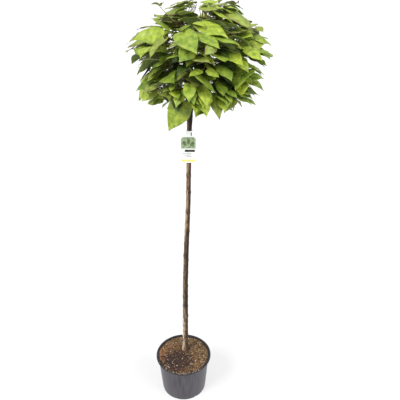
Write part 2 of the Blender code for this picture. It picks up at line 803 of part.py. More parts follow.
def tag_outline():
    """Outline of the tag's plate, with rounded corners and shoulders up to its neck."""
    half, neck, corner = TAG_WIDTH / 2, TAG_NECK_WIDTH / 2, TAG_CORNER
    low, high, top = TAG_TOP - TAG_HEIGHT, TAG_TOP, TAG_TOP + TAG_NECK_HEIGHT
    right = []
    for n in range(4):
        angle = -math.pi / 2 + n * math.pi / 6
        right.append((half - corner + corner * math.cos(angle),
                      low + corner + corner * math.sin(angle)))
    shoulder = 0.018
    for n in range(5):
        angle = n * math.pi / 8
        right.append((half - shoulder + shoulder * math.cos(angle),
                      high - shoulder + shoulder * math.sin(angle)))
    right.append((neck, high + 0.003))
    right.append((neck, top))
    return right + [(-x, z) for x, z in reversed(right)]


def make_tag(material):
    """The plate hangs in front of the stem from a band that loops round it."""
    band_height = TAG_TOP + TAG_NECK_HEIGHT
    middle, radius = stem_at(band_height)
    foot, foot_radius = stem_at(TAG_TOP - TAG_HEIGHT)
    inner = max(radius, middle.y - foot.y + foot_radius) + TAG_LOOP_CLEARANCE
    front = middle.y - inner - TAG_THICKNESS
    outline = [(middle.x + TAG_ASIDE + x, z) for x, z in tag_outline()]
    count = len(outline)
    vertices = [(x, front, z) for x, z in outline]
    vertices += [(x, front + TAG_THICKNESS, z) for x, z in outline]
    faces = [tuple(range(count)), tuple(range(2 * count - 1, count - 1, -1))]
    faces += [(k, (k + 1) % count, count + (k + 1) % count, count + k) for k in range(count)]
    plate = (vertices, faces)
    ring, ring_faces = [], []
    outer = inner + TAG_THICKNESS
    low, high = band_height - TAG_LOOP_BAND, band_height + 0.0004
    for radius, height in ((inner, low), (outer, low), (outer, high), (inner, high)):
        for k in range(TAG_LOOP_SIDES):
            angle = 2 * math.pi * (k + 0.5) / TAG_LOOP_SIDES
            ring.append((middle.x + radius * math.cos(angle),
                         middle.y + radius * math.sin(angle), height))
    for row in range(4):
        for k in range(TAG_LOOP_SIDES):
            after = (k + 1) % TAG_LOOP_SIDES
            here, there = row * TAG_LOOP_SIDES, (row + 1) % 4 * TAG_LOOP_SIDES
            ring_faces.append((here + k, here + after, there + after, there + k))
    united("hang_tag", [plate, (ring, ring_faces)], material)


def main():
    clear_scene()
    plastic = plain_material("pot_plastic", (0.055, 0.050, 0.060), 0.45)
    peat = plain_material("soil_peat", (0.090, 0.048, 0.026), 0.95)
    bark = plain_material("stem_bark", (0.230, 0.160, 0.105), 0.85)
    twig = plain_material("bough_bark", (0.080, 0.045, 0.025), 0.80)
    leaf = plain_material("leaf_green", (0.300, 0.450, 0.030), 0.50)
    tag = plain_material("tag_plastic", (0.850, 0.850, 0.830), 0.40)
    make_pot(plastic)
    make_soil(peat)
    points, radii = stem_line()
    stem = level_tube(points, radii, STEM_SIDES)
    mesh_object("stem", *stem, bark)
    make_tag(tag)
    masses = plan_masses()
    add_walls(masses)
    make_boughs(masses, twig)
    limbs = [tree_of(*stem)]
    for mass in masses:
        radii = [radius + 0.001 for radius in bough_radii(mass)]
        limbs.append(tree_of(*tube_shape(mass["bough"], radii, BOUGH_SIDES)))
    limbs.append(parting_tree())
    middles = []
    for mass in masses:
        others = [twig_tree(stem_twig(other), 0.001) for other in masses if other is not mass]
        count = make_foliage(mass, limbs + others, middles, leaf)
        print(f"foliage {mass['name']}: {count} leaves")
    print(f"{len(middles)} leaves in all")


main()
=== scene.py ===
# %% [markdown]
# # A potted umbrella catalpa
# The plant is a nursery standard: one slim stem, bare for 1.3 m, with a head grafted on
# top that makes a low dome of large heart-shaped leaves. It stands in a round pot of
# injection-moulded plastic, and a printed tag hangs from the stem.
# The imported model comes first. It is a fixed frame of plain solids in metres, with the
# front at -Y, and every piece below is made in place around it.

import json
import math
import random

import bpy
import numpy as np
from mathutils import Matrix, Vector, noise
from mathutils.bvhtree import BVHTree

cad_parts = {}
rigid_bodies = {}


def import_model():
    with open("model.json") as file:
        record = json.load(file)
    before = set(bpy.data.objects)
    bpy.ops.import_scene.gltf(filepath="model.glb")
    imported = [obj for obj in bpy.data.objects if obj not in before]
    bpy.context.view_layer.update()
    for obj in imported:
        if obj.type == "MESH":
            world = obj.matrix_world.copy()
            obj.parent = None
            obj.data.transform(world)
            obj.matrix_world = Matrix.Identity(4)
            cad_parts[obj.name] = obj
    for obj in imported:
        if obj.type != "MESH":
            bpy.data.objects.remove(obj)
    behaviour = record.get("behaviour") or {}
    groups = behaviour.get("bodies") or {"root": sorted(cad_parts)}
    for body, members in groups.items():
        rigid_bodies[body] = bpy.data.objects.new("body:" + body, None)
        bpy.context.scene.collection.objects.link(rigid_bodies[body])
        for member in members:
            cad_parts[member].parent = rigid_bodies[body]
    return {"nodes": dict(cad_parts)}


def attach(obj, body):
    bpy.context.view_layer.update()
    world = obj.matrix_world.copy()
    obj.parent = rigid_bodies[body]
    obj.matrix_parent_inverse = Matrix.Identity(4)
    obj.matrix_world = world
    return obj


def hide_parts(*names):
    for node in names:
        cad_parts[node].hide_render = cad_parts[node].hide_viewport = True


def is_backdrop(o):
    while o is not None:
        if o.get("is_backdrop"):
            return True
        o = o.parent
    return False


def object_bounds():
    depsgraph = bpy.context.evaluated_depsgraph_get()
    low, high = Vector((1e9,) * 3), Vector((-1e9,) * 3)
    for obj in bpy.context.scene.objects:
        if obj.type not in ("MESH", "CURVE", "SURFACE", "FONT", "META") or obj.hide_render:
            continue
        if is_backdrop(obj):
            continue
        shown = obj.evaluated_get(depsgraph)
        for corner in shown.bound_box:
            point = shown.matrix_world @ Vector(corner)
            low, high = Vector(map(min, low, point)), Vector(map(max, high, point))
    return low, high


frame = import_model()
cad_low, cad_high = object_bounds()
print(f"{len(frame['nodes'])} nodes, {cad_high.z - cad_low.z:.3f} m tall")

# %% [markdown]
# ## Camera
# The photograph looks down on the plant from a little above its crown, near enough for
# the pot's mouth to show as a round ellipse. A 42 mm lens on a 36 mm wide sensor gives the
# same foreshortening, and the tilt alone frames the plant, so no shift is needed.

# %% Camera
CAMERA_PLACE = (0.0852, -1.796, 2.025)
CAMERA_TILT = 27.1
LENS = 42.0
SENSOR = 36.0

scene = bpy.context.scene
camera = bpy.data.objects.new("camera", bpy.data.cameras.new("camera"))
scene.collection.objects.link(camera)
camera.data.lens = LENS
camera.data.sensor_width = SENSOR
camera.location = CAMERA_PLACE
camera.rotation_euler = (math.radians(90 - CAMERA_TILT), 0, 0)
scene.camera = camera
scene.view_settings.view_transform = "Standard"
print("camera", CAMERA_PLACE)

# %% [markdown]
# ## Light and floor
# A plain studio: a large soft key light on the left in front, and a weaker one on the
# right, each halfway up. Light from both sides shows up the leaves that reach out of the
# crown and leaves the hollows between them dark. Both are wide sun lamps, because their
# light falls off nowhere and the floor stays even. The floor is a sheet of white acrylic
# lit from underneath, as for product photographs, which keeps it pale where the plant's
# shadow falls. It throws no light up at the leaves, but the pot's glossy sides mirror it.

# %% Light and floor
SUNS = (
    {"name": "key_light", "azimuth": -50, "elevation": 45, "strength": 2.8, "softness": 25},
    {"name": "fill_light", "azimuth": 60, "elevation": 32, "strength": 2.4, "softness": 50},
)
SKY_STRENGTH = 0.78
FLOOR_GLOW = 0.62
FLOOR_REACH = 80.0


def linear(code):
    """An sRGB colour such as #7FA234 as linear RGBA."""
    channels = [int(code[n:n + 2], 16) / 255 for n in (1, 3, 5)]
    lit = [c / 12.92 if c <= 0.04045 else ((c + 0.055) / 1.055) ** 2.4 for c in channels]
    return (*lit, 1.0)


def sun_lamp(name, azimuth, elevation, strength, softness):
    """A sun that shines from a bearing, 0 in front and 90 on the right, and a height."""
    lamp = bpy.data.objects.new(name, bpy.data.lights.new(name, "SUN"))
    scene.collection.objects.link(lamp)
    lamp.data.energy = strength
    lamp.data.angle = math.radians(softness)
    lamp.rotation_euler = (math.radians(90 - elevation), 0, math.radians(azimuth))


for sun in SUNS:
    sun_lamp(**sun)
world = bpy.data.worlds.new("studio")
world.use_nodes = True
sky = world.node_tree.nodes["Background"]
sky.inputs["Color"].default_value = linear("#F4F6F8")
sky.inputs["Strength"].default_value = SKY_STRENGTH
scene.world = world

floor = bpy.data.objects.new("floor", bpy.data.meshes.new("floor"))
corners = [(x * FLOOR_REACH, y * FLOOR_REACH, 0)
           for x, y in ((-1, -1), (1, -1), (1, 1), (-1, 1))]
floor.data.from_pydata(corners, [], [(0, 1, 2, 3)])
scene.collection.objects.link(floor)
floor.visible_diffuse = False
floor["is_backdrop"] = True
print(f"floor {2 * FLOOR_REACH:.0f} m wide")

# %% [markdown]
# ## Nodes and pieces
# Four helpers serve the whole file. One adds a shader node with its settings and its
# links, so that a material reads as a list of steps. One starts a material from its
# Principled shader. One goes on from there to a colour that wanders between two shades,
# as it does on most natural matter and on worn plastic. The last turns plain lists into
# a mesh that rides on the plant.

# %% Helpers
def node(tree, kind, inputs=None, stops=None, **settings):
    """Add a shader node. Inputs take a value or another node's output, settings are the
    node's own properties, and stops are a ramp's places and colours."""
    added = tree.nodes.new(kind)
    for name, value in settings.items():
        setattr(added, name, value)
    for name, value in (inputs or {}).items():
        if isinstance(value, bpy.types.NodeSocket):
            tree.links.new(value, added.inputs[name])
        else:
            added.inputs[name].default_value = value
    for n, (place, colour) in enumerate(stops or []):
        elements = added.color_ramp.elements
        element = elements[n] if n < 2 else elements.new(place)
        element.position = place
        element.color = linear(colour)
    return added


def start_material(name, colour, roughness, ior=1.5):
    """A material's tree, its Principled shader and the place of each point in metres."""
    material = bpy.data.materials.new(name)
    material.use_nodes = True
    tree = material.node_tree
    shader = tree.nodes["Principled BSDF"]
    shader.inputs["Base Color"].default_value = linear(colour)
    shader.inputs["Roughness"].default_value = roughness
    shader.inputs["IOR"].default_value = ior
    place = node(tree, "ShaderNodeTexCoord").outputs["Object"]
    return material, tree, shader, place


def two_shades(name, dark, light, roughness, ior, size, detail, ends=(0.35, 0.65)):
    """A material whose colour wanders between two shades, in patches of a size in metres.
    The ends are where in the noise each shade is reached."""
    material, tree, shader, place = start_material(name, dark, roughness, ior)
    patches = node(tree, "ShaderNodeTexNoise", {"Vector": place, "Scale": 1 / size,
                                                "Detail": detail})
    shade = node(tree, "ShaderNodeValToRGB", {"Fac": patches.outputs["Fac"]},
                 stops=list(zip(ends, (dark, light))))
    tree.links.new(shade.outputs["Color"], shader.inputs["Base Color"])
    return material, tree, shader, place, patches


def piece(name, vertices, faces, materials, slots, replaced):
    """A smooth mesh that stands for CAD nodes and rides on the plant."""
    mesh = bpy.data.meshes.new(name)
    mesh.from_pydata([tuple(v) for v in vertices], [], faces)
    for material in materials:
        mesh.materials.append(material)
    if slots is not None:
        mesh.polygons.foreach_set("material_index", np.asarray(slots, dtype=np.int32))
    mesh.shade_smooth()
    mesh.update()
    made = bpy.data.objects.new(name, mesh)
    scene.collection.objects.link(made)
    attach(made, "root")
    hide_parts(*replaced)
    print(f"{name}: {sum(len(f) - 2 for f in faces)} triangles")
    return made


acrylic, tree, shader, place = start_material("lit_acrylic", "#898988", 0.85)
shader.inputs["Emission Color"].default_value = linear("#FFFFFF")
shader.inputs["Emission Strength"].default_value = FLOOR_GLOW
floor.data.materials.append(acrylic)

# %% [markdown]
# ## Polypropylene of the pot
# Nursery pots are moulded from recycled black polypropylene. The mould is lightly
# textured, so the wall has a soft satin shine, and carbon black leaves it a cool charcoal
# rather than black. A film of dust and lime from watering dulls it in faint upright
# runs about 12 mm apart. The grain of the mould is 0.4 mm and is drawn at 1.2 mm. The lip
# and the inside are handled and rained on, so they keep no dust, and they are coloured
# nearly black: partly that clean plastic, partly painted shade. The faces cut inside the
# drain notches get the same near-black as painted shade.

# %% Polypropylene
RUN_SPACING = 0.012
MOULD_GRAIN = 0.0012

polypropylene, tree, shader, place = start_material("moulded_polypropylene", "#423E43", 0.38)
runs = node(tree, "ShaderNodeMapping", {"Vector": place, "Scale": (1.0, 1.0, 0.08)})
dust = node(tree, "ShaderNodeTexNoise", {"Vector": runs.outputs["Vector"],
                                         "Scale": 1 / RUN_SPACING, "Detail": 4.0})
shade = node(tree, "ShaderNodeValToRGB", {"Fac": dust.outputs["Fac"]},
             stops=[(0.30, "#29252C"), (0.70, "#48434B")])
tree.links.new(shade.outputs["Color"], shader.inputs["Base Color"])
dull = node(tree, "ShaderNodeMapRange", {"Value": dust.outputs["Fac"], "From Min": 0.3,
                                         "From Max": 0.7, "To Min": 0.33, "To Max": 0.46})
tree.links.new(dull.outputs["Result"], shader.inputs["Roughness"])
grain = node(tree, "ShaderNodeTexNoise", {"Vector": place, "Scale": 1 / MOULD_GRAIN,
                                          "Detail": 2.0})
relief = node(tree, "ShaderNodeBump", {"Height": grain.outputs["Fac"], "Strength": 0.25,
                                       "Distance": 0.0004})
tree.links.new(relief.outputs["Normal"], shader.inputs["Normal"])

# Near-black plastic: partly clean plastic, partly painted shade on the lip, the inside and the
# notches' cut faces.
clean_and_shaded_plastic = two_shades("clean_and_shaded_polypropylene", "#121013", "#252226", 0.40, 1.5,
                           RUN_SPACING, 5.0, (0.35, 0.75))[0]
print("dusty and clean polypropylene")

# %% [markdown]
# ## Pot
# The pot is turned from one profile, as its mould was: a thin wall that tapers to a
# rounded foot, and a flat lip with a rolled edge that carries the pot when it is lifted.
# A turned profile keeps the wall's thickness true all round. The drain notches at the foot
# and the holes in the floor are cut by one Boolean, which leaves crisp moulded edges.

# %% Pot
POT_HEIGHT = 0.210
RIM_RADIUS = 0.140
WALL_TOP_RADIUS = 0.130
FOOT_RADIUS = 0.113
WALL = 0.0018
POT_FLOOR = 0.003
FLAT_MIDDLE = 0.070
LIP_DEPTH = 0.008
FOOT_ROUND = 0.0035
LIP_UNDER_ROUND = 0.0012
LIP_ROUND = 0.0022
MOUTH_ROUND = 0.0018
LIP_FILLET_OUT = 0.0015
LIP_FILLET_DOWN = 0.002
LIP_DIP_IN = 0.0045
LIP_DIP_DOWN = 0.0006
OUTER_LEVELS = (0.03, 0.08, 0.13, 0.17)
INNER_LEVELS = (0.19, 0.15, 0.10, 0.05)
NOTCH_COUNT = 7
NOTCH_WIDTH = 0.013
NOTCH_HEIGHT = 0.009
NOTCH_REACH = 0.024
NOTCH_FIRST_ANGLE = math.radians(-107.5)
WALL_ZONE = 0.004
FLOOR_HOLE_COUNT = 4
FLOOR_HOLE_RADIUS = 0.006
FLOOR_HOLE_RING = 0.055
FLOOR_HOLE_SIDES = 24
FLOOR_HOLE_REACH = 0.01
POT_SIDES = 160
POT_SHARP_ANGLE = math.radians(35)
BOX_CORNERS = [(x, y, z) for x in (-1, 1) for y in (-1, 1) for z in (-1, 1)]
BOX_FACES = [(0, 1, 3, 2), (4, 6, 7, 5), (0, 4, 5, 1), (2, 3, 7, 6), (0, 2, 6, 4), (1, 5, 7, 3)]


def wall_radius(height):
    """Outer radius of the pot's wall at a height."""
    return FOOT_RADIUS + (WALL_TOP_RADIUS - FOOT_RADIUS) * height / POT_HEIGHT


def ring_faces(rings, sides):
    """Faces of a body whose points lie in rings, with a flat face at each end."""
    faces = []
    for ring in range(rings - 1):
        low, high = ring * sides, (ring + 1) * sides
        faces += [(low + k, low + (k + 1) % sides, high + (k + 1) % sides, high + k)
                  for k in range(sides)]
    faces.append(tuple(range(sides))[::-1])
    faces.append(tuple(range((rings - 1) * sides, rings * sides)))
    return faces


def turned(profile, sides):
    """Vertices and faces of a profile of (radius, height) turned about Z."""
    angles = [2 * math.pi * k / sides for k in range(sides)]
    vertices = [(r * math.cos(a), r * math.sin(a), z) for r, z in profile for a in angles]
    return vertices, ring_faces(len(profile), sides)


def corner(centre, radius, start, stop, steps=5):
    """A rounded corner: points on an arc, with angles in degrees."""
    angles = [math.radians(start + (stop - start) * n / (steps - 1)) for n in range(steps)]
    return [(centre[0] + radius * math.cos(a), centre[1] + radius * math.sin(a)) for a in angles]


def pot_profile(under_lip):
    """The pot's profile, from the middle of its base over the lip to its floor."""
    inner_top = WALL_TOP_RADIUS - WALL
    profile = [(FLAT_MIDDLE, 0.0)]
    profile += corner((FOOT_RADIUS - FOOT_ROUND, FOOT_ROUND), FOOT_ROUND, -90, -5)
    profile += [(wall_radius(z), z) for z in (*OUTER_LEVELS, under_lip - LIP_FILLET_DOWN)]
    profile += [(wall_radius(under_lip) + LIP_FILLET_OUT, under_lip)]
    profile += corner((RIM_RADIUS - LIP_UNDER_ROUND, under_lip + LIP_UNDER_ROUND),
                      LIP_UNDER_ROUND, -90, 0, 3)
    profile += corner((RIM_RADIUS - LIP_ROUND, POT_HEIGHT - LIP_ROUND), LIP_ROUND, 0, 90)
    profile += [(RIM_RADIUS - LIP_DIP_IN, POT_HEIGHT - LIP_DIP_DOWN)]
    profile += corner((inner_top + MOUTH_ROUND, POT_HEIGHT - MOUTH_ROUND), MOUTH_ROUND, 90, 180)
    profile += [(wall_radius(z) - WALL, z) for z in (*INNER_LEVELS, POT_FLOOR)]
    return profile + [(FLAT_MIDDLE, POT_FLOOR)]


def drain_shapes():
    """The bodies that cut the notches at the foot and the holes in the floor."""
    shapes = []
    for k in range(NOTCH_COUNT):
        spin = Matrix.Rotation(NOTCH_FIRST_ANGLE + 2 * math.pi * k / NOTCH_COUNT, 3, "Z")
        size = (NOTCH_REACH, NOTCH_WIDTH, 2 * NOTCH_HEIGHT)
        out = Vector((FOOT_RADIUS + WALL_ZONE, 0.0, 0.0))
        box = [spin @ (Vector((x * size[0], y * size[1], z * size[2])) / 2 + out)
               for x, y, z in BOX_CORNERS]
        shapes.append((box, BOX_FACES))
    for k in range(FLOOR_HOLE_COUNT):
        angle = 2 * math.pi * (k + 0.5) / FLOOR_HOLE_COUNT
        middle = Vector((math.cos(angle), math.sin(angle), 0)) * FLOOR_HOLE_RING
        profile = [(FLOOR_HOLE_RADIUS, z) for z in (-FLOOR_HOLE_REACH, FLOOR_HOLE_REACH)]
        rings, faces = turned(profile, FLOOR_HOLE_SIDES)
        shapes.append(([Vector(v) + middle for v in rings], faces))
    return shapes


under_lip = POT_HEIGHT - LIP_DEPTH
profile = pot_profile(under_lip)
vertices, faces = turned(profile, POT_SIDES)
outer_rings = next(n for n, (r, z) in enumerate(profile) if z >= under_lip)
# Slot 1, the near-black plastic, on the lip and the inside is partly painted shade.
slots = [0 if max(face) < (outer_rings + 1) * POT_SIDES else 1 for face in faces]
pot = piece("pot_shell", vertices, faces, [polypropylene, clean_and_shaded_plastic], slots, ["pot"])
cutters = bpy.data.collections.new("pot_cutters")
scene.collection.children.link(cutters)
for n, (vertices, faces) in enumerate(drain_shapes()):
    mesh = bpy.data.meshes.new(f"drain_{n}")
    mesh.from_pydata([tuple(v) for v in vertices], [], faces)
    cutters.objects.link(bpy.data.objects.new(f"drain_{n}", mesh))
cut = pot.modifiers.new("Drains", "BOOLEAN")
cut.operation = "DIFFERENCE"
cut.operand_type = "COLLECTION"
cut.collection = cutters
cut.solver = "EXACT"
cut_mesh = bpy.data.meshes.new_from_object(
    pot.evaluated_get(bpy.context.evaluated_depsgraph_get()))
pot.modifiers.clear()
pot.data = cut_mesh
# Painted shade: faces cut inside the drain notches take the near-black plastic.
for face in cut_mesh.polygons:
    away = math.hypot(face.center.x, face.center.y)
    if face.center.z < NOTCH_HEIGHT and away < FOOT_RADIUS - WALL_ZONE:
        face.material_index = 1
cut_mesh.shade_smooth()
cut_mesh.set_sharp_from_angle(angle=POT_SHARP_ANGLE)
for cutter in list(cutters.objects):
    bpy.data.objects.remove(cutter, do_unlink=True)
bpy.data.collections.remove(cutters)
print(f"pot {2000 * RIM_RADIUS:.0f} mm across, {len(cut_mesh.polygons)} faces")

# %% [markdown]
# ## Peat, fibre and chips
# The potting mix is peat with coir and composted bark. It has bleached to gold and tan
# where sun and air dry it, at the back on the left and along the right, and stays dark
# brown in the damp front, with a film of moss at the back. The surface takes its colour
# from a few broad patches broken up by noise of 25 mm and 4 mm. Crumbs, fibres and chips
# lie on it as separate small bodies, each kind in its own two shades.

# %% Peat, fibre and chips
PATCH_SIZE = 0.025
CRUMB_SIZE = 0.004
DAMP_MIDDLE = (-0.030, -0.045, 0.204)
LITTER_SHADES = (
    ("peat_crumb", "#1E1512", "#4A352B", 0.95, 0.006),
    ("coir_fibre", "#7A5838", "#A8845A", 0.85, 0.010),
    ("composted_bark", "#5C4431", "#977A57", 0.88, 0.008),
    ("bleached_wood_chip", "#A59080", "#D6C8B8", 0.80, 0.010),
    # Near-black peat: painted shade on the root ball's side and in the drain notches.
    ("shaded_wet_peat", "#120D0B", "#221914", 0.70, 0.006),
)

peat, tree, shader, place = start_material("damp_peat", "#3F2F28", 0.95, 1.45)
broad = node(tree, "ShaderNodeTexNoise", {"Vector": place, "Scale": 1 / PATCH_SIZE,
                                          "Detail": 3.0})
fine = node(tree, "ShaderNodeTexNoise", {"Vector": place, "Scale": 1 / CRUMB_SIZE,
                                         "Detail": 4.0})
axes = node(tree, "ShaderNodeSeparateXYZ", {"Vector": place})
across = node(tree, "ShaderNodeMapRange", {"Value": axes.outputs["X"], "From Min": -0.10,
                                           "From Max": 0.10})
dry = node(tree, "ShaderNodeValToRGB", {"Fac": across.outputs["Result"]},
           stops=[(0.0, "#966F48"), (1.0, "#6E5F42"), (0.45, "#72573C")])
damp_reach = node(tree, "ShaderNodeVectorMath", {0: place, 1: DAMP_MIDDLE},
                  operation="DISTANCE")
uneven = node(tree, "ShaderNodeMath", {0: broad.outputs["Fac"], 1: 0.09,
                                       2: damp_reach.outputs["Value"]}, operation="MULTIPLY_ADD")
dryness = node(tree, "ShaderNodeMapRange", {"Value": uneven.outputs["Value"], "From Min": 0.095,
                                            "From Max": 0.150})
zones = node(tree, "ShaderNodeMix", {"Factor": dryness.outputs["Result"], 6: linear("#3A2B28"),
                                     7: dry.outputs["Color"]}, data_type="RGBA")
speck = node(tree, "ShaderNodeValToRGB", {"Fac": fine.outputs["Fac"]},
             stops=[(0.38, "#1E130E"), (0.64, "#E0C7A4")])
grainy = node(tree, "ShaderNodeMix", {"Factor": 0.75, 6: zones.outputs[2],
                                      7: speck.outputs["Color"]},
              data_type="RGBA", blend_type="OVERLAY")
mossy = node(tree, "ShaderNodeMath", {0: broad.outputs["Fac"], 1: 0.10, 2: axes.outputs["Y"]},
             operation="MULTIPLY_ADD")
moss = node(tree, "ShaderNodeMapRange", {"Value": mossy.outputs["Value"], "From Min": 0.085,
                                         "From Max": 0.15, "To Max": 0.6})
colour = node(tree, "ShaderNodeMix", {"Factor": moss.outputs["Result"],
                                      6: grainy.outputs[2], 7: linear("#4E4A2E")},
              data_type="RGBA")
tree.links.new(colour.outputs[2], shader.inputs["Base Color"])
relief = node(tree, "ShaderNodeBump", {"Height": fine.outputs["Fac"], "Strength": 0.7,
                                       "Distance": 0.0015})
tree.links.new(relief.outputs["Normal"], shader.inputs["Normal"])
litter_skins = [two_shades(name, dark, light, roughness, 1.45, size, 2.0)[0]
                for name, dark, light, roughness, size in LITTER_SHADES]
print("peat, crumb, fibre, bark and chip")

# %% [markdown]
# ## Soil
# The top of the soil is a polar grid, fine enough for real lumps, that follows the CAD
# soil's gentle swell. The lumps come from noise of 20 mm and 6 mm. The crumbs, fibres,
# chips and white grit are scattered with a seeded generator, more gold on the left and
# more tan on the right. The root ball's side, which shows through the drain notches, is
# coloured nearly black as painted shade, and a little compost has washed into each notch,
# coloured the same near-black as painted shade. Crumbs were spilt on the lip in front
# when the pot was filled.

# %% Soil
SOIL_TOP = 0.204
SOIL_RELIEF = 0.0035
SOIL_FLAT_RADIUS = 0.070
SOIL_FADE = 0.04
SOIL_LUMPS = ((0, 50, 0.0022), (3, 160, 0.0014), (7, 420, 0.0006))
SOIL_GAP = 0.0006
SOIL_EDGE = 0.004
SOIL_RINGS = 66
SOIL_SIDES = 216
STEM_FOOT_X = 0.0087
STEM_FOOT_Y = 0.041
STEM_CLEAR = 0.021
DAMP_RADIUS = 0.080
LITTER = (
    ("crumb", 1500, (0.002, 0.0058)),
    ("fibre", 420, (0.008, 0.026)),
    ("bark", 330, (0.004, 0.012)),
    ("chip", 80, (0.004, 0.009)),
    ("grit", 90, (0.0016, 0.0034)),
)
CRUMB, FIBRE, BARK, CHIP, SHADED_WET = range(5)
LITTER_AREA = 0.955
DAMP_BLUR = 0.015
DAMP_FIBRES = 0.4
FIBRE_RADII = (0.00022, 0.0004, 0.0004, 0.0002)
FIBRE_ARCH = 0.0022
BARK_THICK = 0.0012
CHIP_THICK = 0.0010
LIP_CRUMBS = 110
LIP_CRUMB_SPREAD = 0.42
LIP_CRUMB_RING = (0.1300, 0.1375)
LIP_CRUMB_SIZES = (0.0015, 0.0040)
WASHED_RING = 0.106
WASHED_LUMP = 0.011


def soil_height(x, y):
    """The CAD soil's top, with three sizes of lumps on it."""
    away = math.hypot(x - STEM_FOOT_X, y - STEM_FOOT_Y)
    share = min(1.0, max(0.0, (away - SOIL_FLAT_RADIUS) / SOIL_FADE))
    swell = SOIL_RELIEF * math.sin(x * 47 + 1.0) * math.cos(y * 39 - 0.5) * share
    height = SOIL_TOP + swell
    for layer, rate, rise in SOIL_LUMPS:
        height += rise * noise.noise(Vector((x, y, layer)) * rate)
    return height


def lump(rng, at, size):
    """A crumb: a rough body with eight corners."""
    turn = Matrix.Rotation(rng.uniform(0, 6.28), 3, Vector((rng.gauss(0, 1), rng.gauss(0, 1), 1)))
    corners = [turn @ Vector((x * size * rng.uniform(0.3, 0.6), y * size * rng.uniform(0.3, 0.6),
                              z * size * rng.uniform(0.2, 0.5))) + at
               for x, y, z in BOX_CORNERS]
    return corners, BOX_FACES


def slab(rng, at, long, wide, thick):
    """A chip: a flat splinter with pointed ends, tilted where it lies."""
    turn = (Matrix.Rotation(rng.uniform(0, 6.28), 3, "Z")
            @ Matrix.Rotation(rng.gauss(0, 0.35), 3, "X")
            @ Matrix.Rotation(rng.gauss(0, 0.25), 3, "Y"))
    outline = [(-0.5, -0.1), (-0.25, -0.5), (0.3, -0.4), (0.5, 0.05), (0.2, 0.5), (-0.3, 0.38)]
    corners = [turn @ Vector((x * long, y * wide, z * thick)) + at
               for z in (-0.5, 0.5) for x, y in outline]
    return corners, ring_faces(2, len(outline))


def tube_shape(points, radii, sides, side=None):
    """Vertices and faces of a round tapering limb along points, with flat ends. Its
    corners begin on the given side, and the faces run from its first end to its last."""
    points = [Vector(p) for p in points]
    count = len(points)
    vertices = []
    for n, (point, radius) in enumerate(zip(points, radii)):
        along = (points[min(n + 1, count - 1)] - points[max(n - 1, 0)]).normalized()
        if side is None:
            side = along.orthogonal()
        side = (side - along * side.dot(along)).normalized()
        across = along.cross(side)
        for k in range(sides):
            angle = 2 * math.pi * k / sides
            vertices.append(point + radius * (math.cos(angle) * side + math.sin(angle) * across))
    return vertices, ring_faces(count, sides)


def fibre(rng, at, long):
    """A fibre: a thin thread that arches over the soil."""
    heading = rng.uniform(0, 6.28)
    way = Vector((math.cos(heading), math.sin(heading), 0))
    bend = Vector((-way.y, way.x, 0)) * long * rng.uniform(-0.15, 0.15)
    points = [at + way * long * (t - 0.5) + bend * 4 * t * (1 - t)
              + Vector((0, 0, FIBRE_ARCH * math.sin(math.pi * t))) for t in (0, 0.3, 0.6, 1)]
    return tube_shape(points, FIBRE_RADII, 3)


class Joined:
    """Shapes gathered into one mesh, each with its material's slot."""

    def __init__(self):
        self.vertices, self.faces, self.slots = [], [], []

    def add(self, shape, slot):
        """Take in a shape's vertices and faces, all of them with one slot."""
        vertices, faces = shape
        first = len(self.vertices)
        self.vertices += [tuple(v) for v in vertices]
        self.faces += [tuple(n + first for n in face) for face in faces]
        self.slots += [slot] * len(faces)


def scatter(rng, litter, kind, sizes, at, dry):
    """Add one bit of litter of a kind. Fibres are scarce and bark is dark where it is damp."""
    if kind == "fibre" and not dry and rng.random() >= DAMP_FIBRES:
        return
    size = rng.uniform(*sizes)
    if kind == "crumb":
        litter.add(lump(rng, at, size), BARK if dry and rng.random() < 0.5 else CRUMB)
    elif kind == "fibre":
        litter.add(fibre(rng, at + Vector((0, 0, 0.0006)), size), FIBRE)
    elif kind == "bark":
        litter.add(slab(rng, at, size, size * rng.uniform(0.3, 0.7), BARK_THICK),
                   BARK if dry else CRUMB)
    elif kind == "chip":
        litter.add(slab(rng, at + Vector((0, 0, 0.001)), size, size * 0.45, CHIP_THICK), CHIP)
    else:
        litter.add(lump(rng, at + Vector((0, 0, 0.0006)), size), CHIP)


inner = wall_radius(SOIL_TOP) - WALL - SOIL_GAP
bottom = POT_FLOOR + SOIL_GAP
body = [(FLAT_MIDDLE, bottom), (wall_radius(bottom) - WALL - SOIL_GAP, bottom),
        (inner, SOIL_TOP - SOIL_EDGE)]
body += [(inner * (1 - n / SOIL_RINGS), SOIL_TOP) for n in range(SOIL_RINGS)]
vertices, faces = turned(body, SOIL_SIDES)
first_top = 3 * SOIL_SIDES
vertices = [(x, y, soil_height(x, y)) if n >= first_top else (x, y, z)
            for n, (x, y, z) in enumerate(vertices)]
# The root ball's side takes the near-black peat as painted shade.
slots = [1 if n < 2 * SOIL_SIDES else 0 for n in range(len(faces))]
piece("soil_surface", vertices, faces, [peat, litter_skins[SHADED_WET]], slots, ["soil"])

